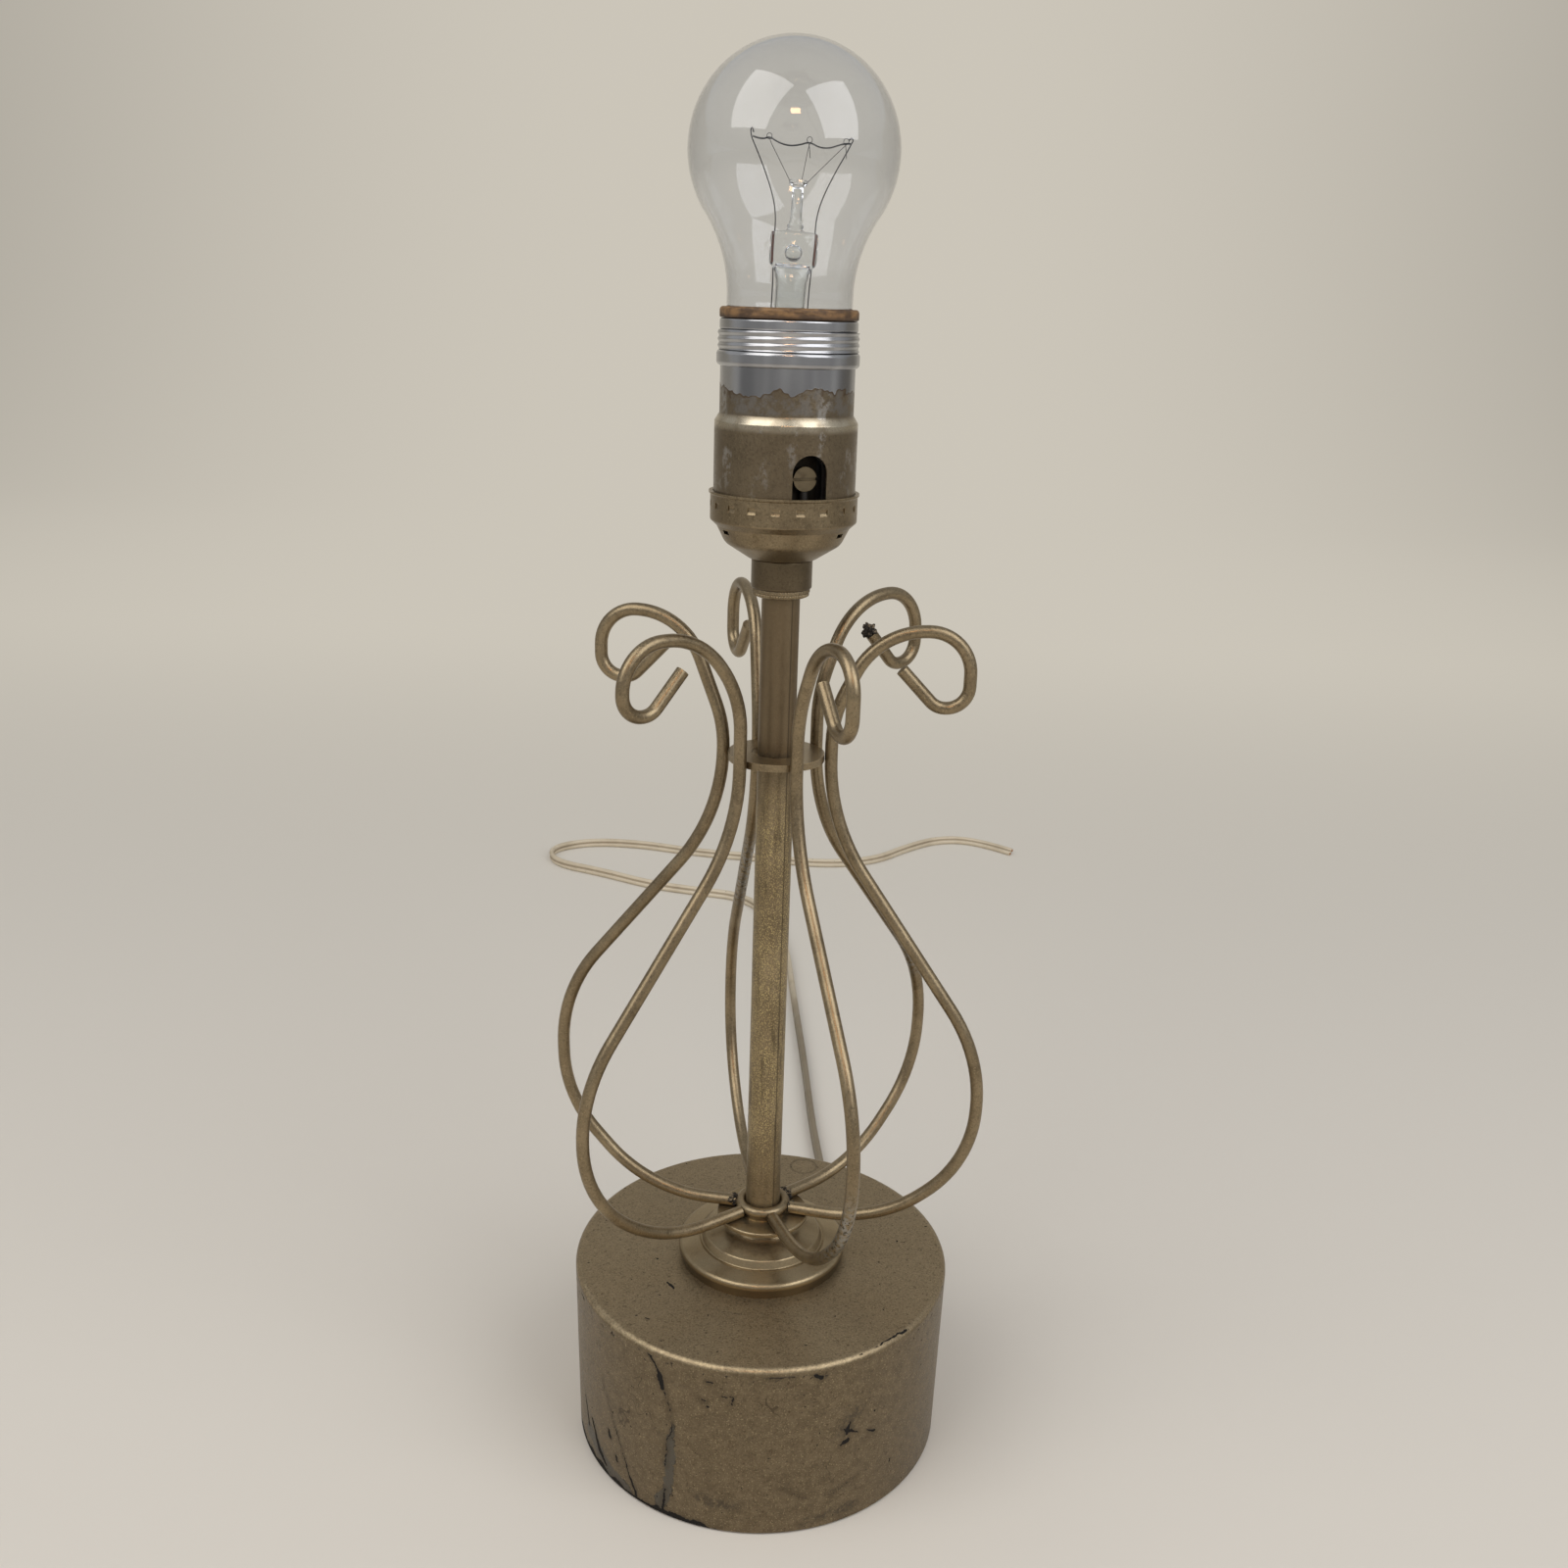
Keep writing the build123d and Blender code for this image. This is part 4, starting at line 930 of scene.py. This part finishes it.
def make_locknut(material):
    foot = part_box("neck_locknut")[0].z
    segments = NUT_TEETH * STEPS_PER_TOOTH
    verts = []
    for radius, rise, knurl in NUT_PROFILE:
        for index in range(segments):
            turn = 2 * math.pi * index / segments
            reach = (radius - KNURL_DEPTH * knurl * (1 + math.cos(NUT_TEETH * turn))) * MM
            verts.append(Vector((reach * math.cos(turn), reach * math.sin(turn), foot + rise * MM)))
    faces = ring_faces(len(NUT_PROFILE), segments)
    add_mesh("knurled_locknut", verts, faces, material, "lamp", ["neck_locknut"])


# Cord: the route's points, as in the CAD tube, laid lower because the real cord is flat
CORD_WIDTH = 5.2 * MM
CORD_THICK = 2.7 * MM
CORD_LAY = 2.7 * MM
CORD_ROUTE = [
    (17.878, 55.023), (22.513, 69.289), (25.5, 90), (24.5, 120), (20, 165), (17, 225),
    (12.5, 290), (9, 350), (1, 395), (-16, 427), (-44, 434), (-72, 442),
    (-104, 461), (-134, 474), (-141, 498), (-118, 514), (-85, 513), (-50, 501),
    (-8, 494), (32, 486), (64, 495), (86, 521), (109, 540), (134, 538),
    (153, 519.5),
]
FLOOR_GAP = 0.1 * MM
TWIN_SIDES = 14
CORE_RADIUS = 0.6 * MM
CORE_REACH = (-1 * MM, 0.2 * MM, 0.5 * MM)
CORD_START_HEIGHTS = [9 * MM, 8.6 * MM, 3.4 * MM]
# How far the cord is turned from flat, in degrees, at shares of its length
CORD_TURNS = [
    (0, 88), (0.4, 84), (0.48, 58), (0.55, 62), (0.62, 96), (0.7, 122), (0.88, 118), (1, 140),
]


def cord_route():
    heights = CORD_START_HEIGHTS + [CORD_LAY] * (len(CORD_ROUTE) - len(CORD_START_HEIGHTS))
    return [Vector((x * MM, y * MM, z)) for (x, y), z in zip(CORD_ROUTE, heights)]


def cord_turn(share):
    """The cord's turn about its own line, in radians, at a share of its length."""
    for (before, first), (after, second) in zip(CORD_TURNS, CORD_TURNS[1:]):
        if share <= after:
            part = ease((share - before) / (after - before))
            return math.radians(first + (second - first) * part)
    return math.radians(CORD_TURNS[-1][1])


def twin_section():
    """The outline of two round conductors side by side, and which of its sides lie in the groove."""
    radius = CORD_THICK / 2
    shift = CORD_WIDTH / 2 - radius
    outline, groove = [], []
    for side in (1, -1):
        for index in range(TWIN_SIDES + 1):
            turn = math.radians(-140 + 280 * index / TWIN_SIDES)
            groove.append(index == 0 or index >= TWIN_SIDES - 1)
            outline.append((side * (shift + radius * math.cos(turn)), side * radius * math.sin(turn)))
    return outline, groove


def make_cord(material, groove_shade_material, copper):
    """The twin cord along its route, with the two bare cores at its far end."""
    points = smooth_line(cord_route())
    outline, groove = twin_section()
    lengths = lengths_along(points)
    conductor = CORD_THICK / 2
    verts = []
    for index, point in enumerate(points):
        turn = cord_turn(lengths[index] / lengths[-1])
        half_height = (CORD_WIDTH / 2 - conductor) * math.sin(turn) + conductor
        point.z += half_height + FLOOR_GAP - CORD_LAY
        ahead = (points[min(index + 1, len(points) - 1)] - points[max(index - 1, 0)]).normalized()
        level = ahead.cross(Vector((0, 0, 1))).normalized()
        upright = level.cross(ahead)
        across = level * math.cos(turn) + upright * math.sin(turn)
        lift = upright * math.cos(turn) - level * math.sin(turn)
        verts += [point + across * x + lift * y for x, y in outline]
    size = len(outline)
    faces = ring_faces(len(points), size)
    faces.append(tuple(range(size))[::-1])
    faces.append(tuple(range(len(verts) - size, len(verts))))
    piece = add_mesh("mains_cord", verts, faces, material, "lamp", ["cord"])
    piece.data.materials.append(groove_shade_material)
    # Faces in the groove take the darker vinyl: painted shade in the crease
    for polygon, dark in zip(piece.data.polygons, groove * (len(points) - 1)):
        polygon.material_index = int(dark)
    end = (points[-1] - points[-2]).normalized()
    cores = []
    for side in (-1, 1):
        start = points[-1] + across * side * (CORD_WIDTH - CORD_THICK) / 2
        cores.append([start + end * reach for reach in CORE_REACH])
    tips = wires("cord_cores", cores, CORE_RADIUS, copper, "lamp", roundness=4)


# Welds at the wires' feet: azimuth from the front in degrees and size of the lump, and the burr on one
# wire's tip: azimuth, reach and height, and its lumps' shift, size and seed, in millimetres
FOOT_WELDS = [(22, 1.1), (77.5, 1.8), (129.5, 2.3), (192, 1.8), (261, 2.2), (307, 1.4)]
TIP_BURR = (132, 34.2, 245.2)
BURR_LUMPS = [(0, 1.9, 11), (1.2, 0.9, 23)]


def around(azimuth, reach, height):
    """The point at an azimuth from the front, a reach from the stem's axis and a height."""
    turn = math.radians(azimuth)
    return Vector((reach * math.sin(turn), -reach * math.cos(turn), height))


def add_lump(mesh, centre, size, seed):
    """One rough lump of slag."""
    made = bmesh.ops.create_icosphere(mesh, subdivisions=4, radius=1)
    for vert in made["verts"]:
        rough = 1 + 0.55 * noise.noise(vert.co * 1.7 + Vector((seed, 0.3 * seed, 0)))
        rough += 0.32 * noise.noise(vert.co * 4.7 + Vector((3, seed, 1)))
        rough += 0.14 * noise.noise(vert.co * 11 + Vector((seed, 5, 2)))
        vert.co = centre + vert.co * size * rough


def make_welds(material):
    """Rough lumps of weld where each wire meets the lower ring, and a burr on one curl."""
    random.seed(7)
    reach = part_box("cage_lower_ring")[1].x + 0.5 * MM
    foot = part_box("scroll_wire_1")[0].z + 2.1 * MM
    mesh = bmesh.new()
    for azimuth, size in FOOT_WELDS:
        along = around(azimuth + 90, 1, 0)
        root = around(azimuth, reach, foot)
        add_lump(mesh, root, size * 0.72 * MM, azimuth)
        for lump in range(6):
            turn = 2 * math.pi * (lump + random.uniform(0, 0.6)) / 6
            away = (along * math.cos(turn) + Vector((0, 0, 0.8 * math.sin(turn)))) * size * 0.75 * MM
            away += around(azimuth, random.uniform(-0.5, 1) * MM, 0)
            add_lump(mesh, root + away, size * random.uniform(0.2, 0.42) * MM, azimuth + 7 * lump)
    azimuth, tip_reach, height = TIP_BURR
    for shift, size, seed in BURR_LUMPS:
        add_lump(mesh, around(azimuth, tip_reach - shift, height + shift) * MM, size * MM, seed)
    mesh.verts.index_update()
    verts = [vert.co.copy() for vert in mesh.verts]
    faces = [[vert.index for vert in face.verts] for face in mesh.faces]
    mesh.free()
    add_mesh("weld_beads", verts, faces, material, "lamp")


def make_camera():
    camera = bpy.data.cameras.new("camera")
    camera.sensor_width = SENSOR_MM
    camera.lens = FOCAL_PIXELS * SENSOR_MM / IMAGE_WIDTH
    camera.clip_start = 0.01
    holder = new_object("camera", camera)
    turn = Matrix.Rotation(math.radians(-YAW_DEG), 4, "Z")
    tilt = Matrix.Rotation(math.radians(90 - PITCH_DEG), 4, "X")
    roll = Matrix.Rotation(math.radians(ROLL_DEG), 4, "Z")
    holder.matrix_world = Matrix.Translation(EYE) @ turn @ tilt @ roll
    scene.camera = holder


def area_light(name, place, target, size, power, colour):
    light = bpy.data.lights.new(name, "AREA")
    light.shape = "RECTANGLE"
    light.size, light.size_y = size
    light.energy = power
    light.color = colour
    holder = new_object(name, light)
    holder.location = place
    holder.rotation_euler = (Vector(target) - Vector(place)).to_track_quat("-Z", "Y").to_euler()


FLOOR_BACK = 3
FLOOR_FRONT = -8
FLOOR_SIDE = 9
BACKDROP_RADIUS = 0.9
BACKDROP_HEIGHT = 2.4
SKY_STRENGTH = 0.44


def floor_cream():
    """A matt cream floor that passes into a pale glowing backdrop, painted darker towards its far sides,
    which metal and glass see as well.
    """
    look = Look("floor", Roughness=0.85, Base_Color=FLOOR)
    path = look.node("ShaderNodeLightPath").outputs
    seen = look.most(path["Is Camera Ray"], path["Is Glossy Ray"])
    seen = look.most(seen, path["Is Transmission Ray"])
    x, y = look.split(look.place)[:2]
    far = look.times(seen, look.step(y, 0.1, 1.2))
    # The backdrop's glow is painted darker towards its far sides, as painted shade.
    pale = look.step(look.math("ABSOLUTE", x), 3, 0.3, 0.5, 1)
    glow = look.node("ShaderNodeEmission", {"Color": BACKDROP, "Strength": pale}).outputs[0]
    blend = look.node("ShaderNodeMixShader", None, far, look.shader.outputs[0], glow).outputs[0]
    look.links.new(blend, look.nodes["Material Output"].inputs["Surface"])
    return look.material


def make_stage():
    """A pale floor that curves up into a backdrop, two soft boxes, a small warm lamp and an even sky."""
    profile = [(FLOOR_FRONT, 0), (FLOOR_BACK - BACKDROP_RADIUS, 0)]
    profile += arc((FLOOR_BACK - BACKDROP_RADIUS, BACKDROP_RADIUS), BACKDROP_RADIUS, -90, 0, 16)[1:]
    profile.append((FLOOR_BACK, BACKDROP_HEIGHT))
    verts = [(side * FLOOR_SIDE, y, z) for y, z in profile for side in (-1, 1)]
    faces = [(2 * i, 2 * i + 1, 2 * i + 3, 2 * i + 2) for i in range(len(profile) - 1)]
    mesh = bpy.data.meshes.new("floor")
    mesh.from_pydata(verts, [], faces)
    mesh.shade_smooth()
    mesh.materials.append(floor_cream())
    new_object("floor", mesh)
    world = bpy.data.worlds.new("sky")
    world.use_nodes = True
    background = world.node_tree.nodes["Background"].inputs
    background["Color"].default_value = (*SKY, 1)
    background["Strength"].default_value = SKY_STRENGTH
    scene.world = world
    aim = (0, 0, 0.25)
    area_light("soft_box_left", (-0.72, -0.56, 1.2), aim, (1.02, 1.24), 9.2, (1, 0.98, 0.96))
    area_light("soft_box_right", (0.82, -0.66, 1.1), aim, (1, 1.24), 9.2, (0.98, 0.98, 1))
    area_light("warm_lamp", (0, -1.23, 1.23), aim, (0.24, 0.14), 1.6, (1, 0.55, 0.26))


make_camera()
make_stage()
scene.view_settings.view_transform = "Standard"

# Worn places on the wires: azimuth from the front, reach, height and radius, in millimetres
WORN_PLACES = [(22, 60, 94, 22), (196, 34, 167, 24), (130, 52, 142, 14)]
wire_gold = gold_paint("wire_gold", 0.35, WORN_PLACES)
fitting_gold = gold_paint("fitting_gold", 0.45)
brass = plain_metal("brass", (0.55, 0.41, 0.19), 0.3, (0.12, 0.08, 0.04))
oxide = plain_metal("oxidised_brass", (0.03, 0.025, 0.019), 0.5, (0.01, 0.009, 0.008), 0.7)
steel = plain_metal("zinc_steel", (0.5, 0.5, 0.5), 0.35)
nickel = plain_metal("nickel_wire", (0.085, 0.082, 0.08), 0.35, (0.03, 0.03, 0.03))
black_body = moulded("phenolic", (0.01, 0.009, 0.008), 0.45, (0.025, 0.021, 0.018))
screw_brass = plain_metal("screw_brass", (0.2, 0.158, 0.098), 0.34, (0.06, 0.046, 0.03), 0.6)
lead_jacket = moulded("lead_jacket", (0.018, 0.015, 0.012), 0.5, (0.04, 0.034, 0.028))
glass = clear_glass("bulb_glass", (0.925, 0.935, 0.95), 90)
dress(wire_gold, *[f"scroll_wire_{number}" for number in range(1, 7)])
dress(flange_paint(), "base_flange", "seating_cup")
dress(fitting_gold, "cage_lower_ring", "cage_upper_ring")
dress(gold_paint("cap_gold", 0.6, shade=0.12), "socket_cap")
dress(gold_paint("hub_gold", 0.3, shade=0.65), "socket_hub")
dress(drum_paint(), "base_drum")
dress(stem_paint(), "stem_pipe")
dress(shell_metal(), "socket_shell")
dress(liner_fibre(), "socket_liner")
dress(fibre_board("base_fibre", (0.26, 0.17, 0.09), (0.14, 0.09, 0.05)), "base_board")
dress(felt_cloth(), "base_felt")
dress(plain_metal("cast_iron", (0.06, 0.06, 0.06), 0.6), "base_weight")
dress(steel, "base_washer", "base_hex_nut")
dress(moulded("rubber", (0.02, 0.02, 0.02), 0.6), "cord_grommet")
dress(black_body, "socket_body", "bulb_insulator")
dress(oxide, "terminal_strap_front", "terminal_strap_rear")
dress(brass, "screw_shell", "centre_contact")
dress(screw_brass, "terminal_screws")
dress(plain_metal("bulb_aluminium", (0.6, 0.6, 0.61), 0.25), "bulb_cap")
dress(plain_metal("solder", (0.45, 0.45, 0.44), 0.4), "bulb_contact")
dress(lead_jacket, "lead_front", "lead_rear")
vinyl = cord_vinyl("cord_vinyl", CREAM, CREAM_DIRTY)
# The groove between the conductors gets a darker copy of the vinyl: painted shade in the crease.
groove = cord_vinyl("cord_groove_shade", (0.36, 0.29, 0.195), (0.22, 0.175, 0.115))
dress(vinyl, "cord_inner")
copper = plain_metal("copper", (0.55, 0.26, 0.13), 0.3)

make_glass(glass)
make_mount(clear_glass("mount_glass", (0.95, 0.965, 0.96)))
make_bulb_leads(nickel, plain_metal("sealed_copper", (0.2, 0.055, 0.03), 0.35))
make_supports(nickel)
make_locknut(fitting_gold)
make_filament(plain_metal("tungsten", (0.06, 0.06, 0.063), 0.35))
make_cord(vinyl, groove, copper)
make_welds(weld_crust())
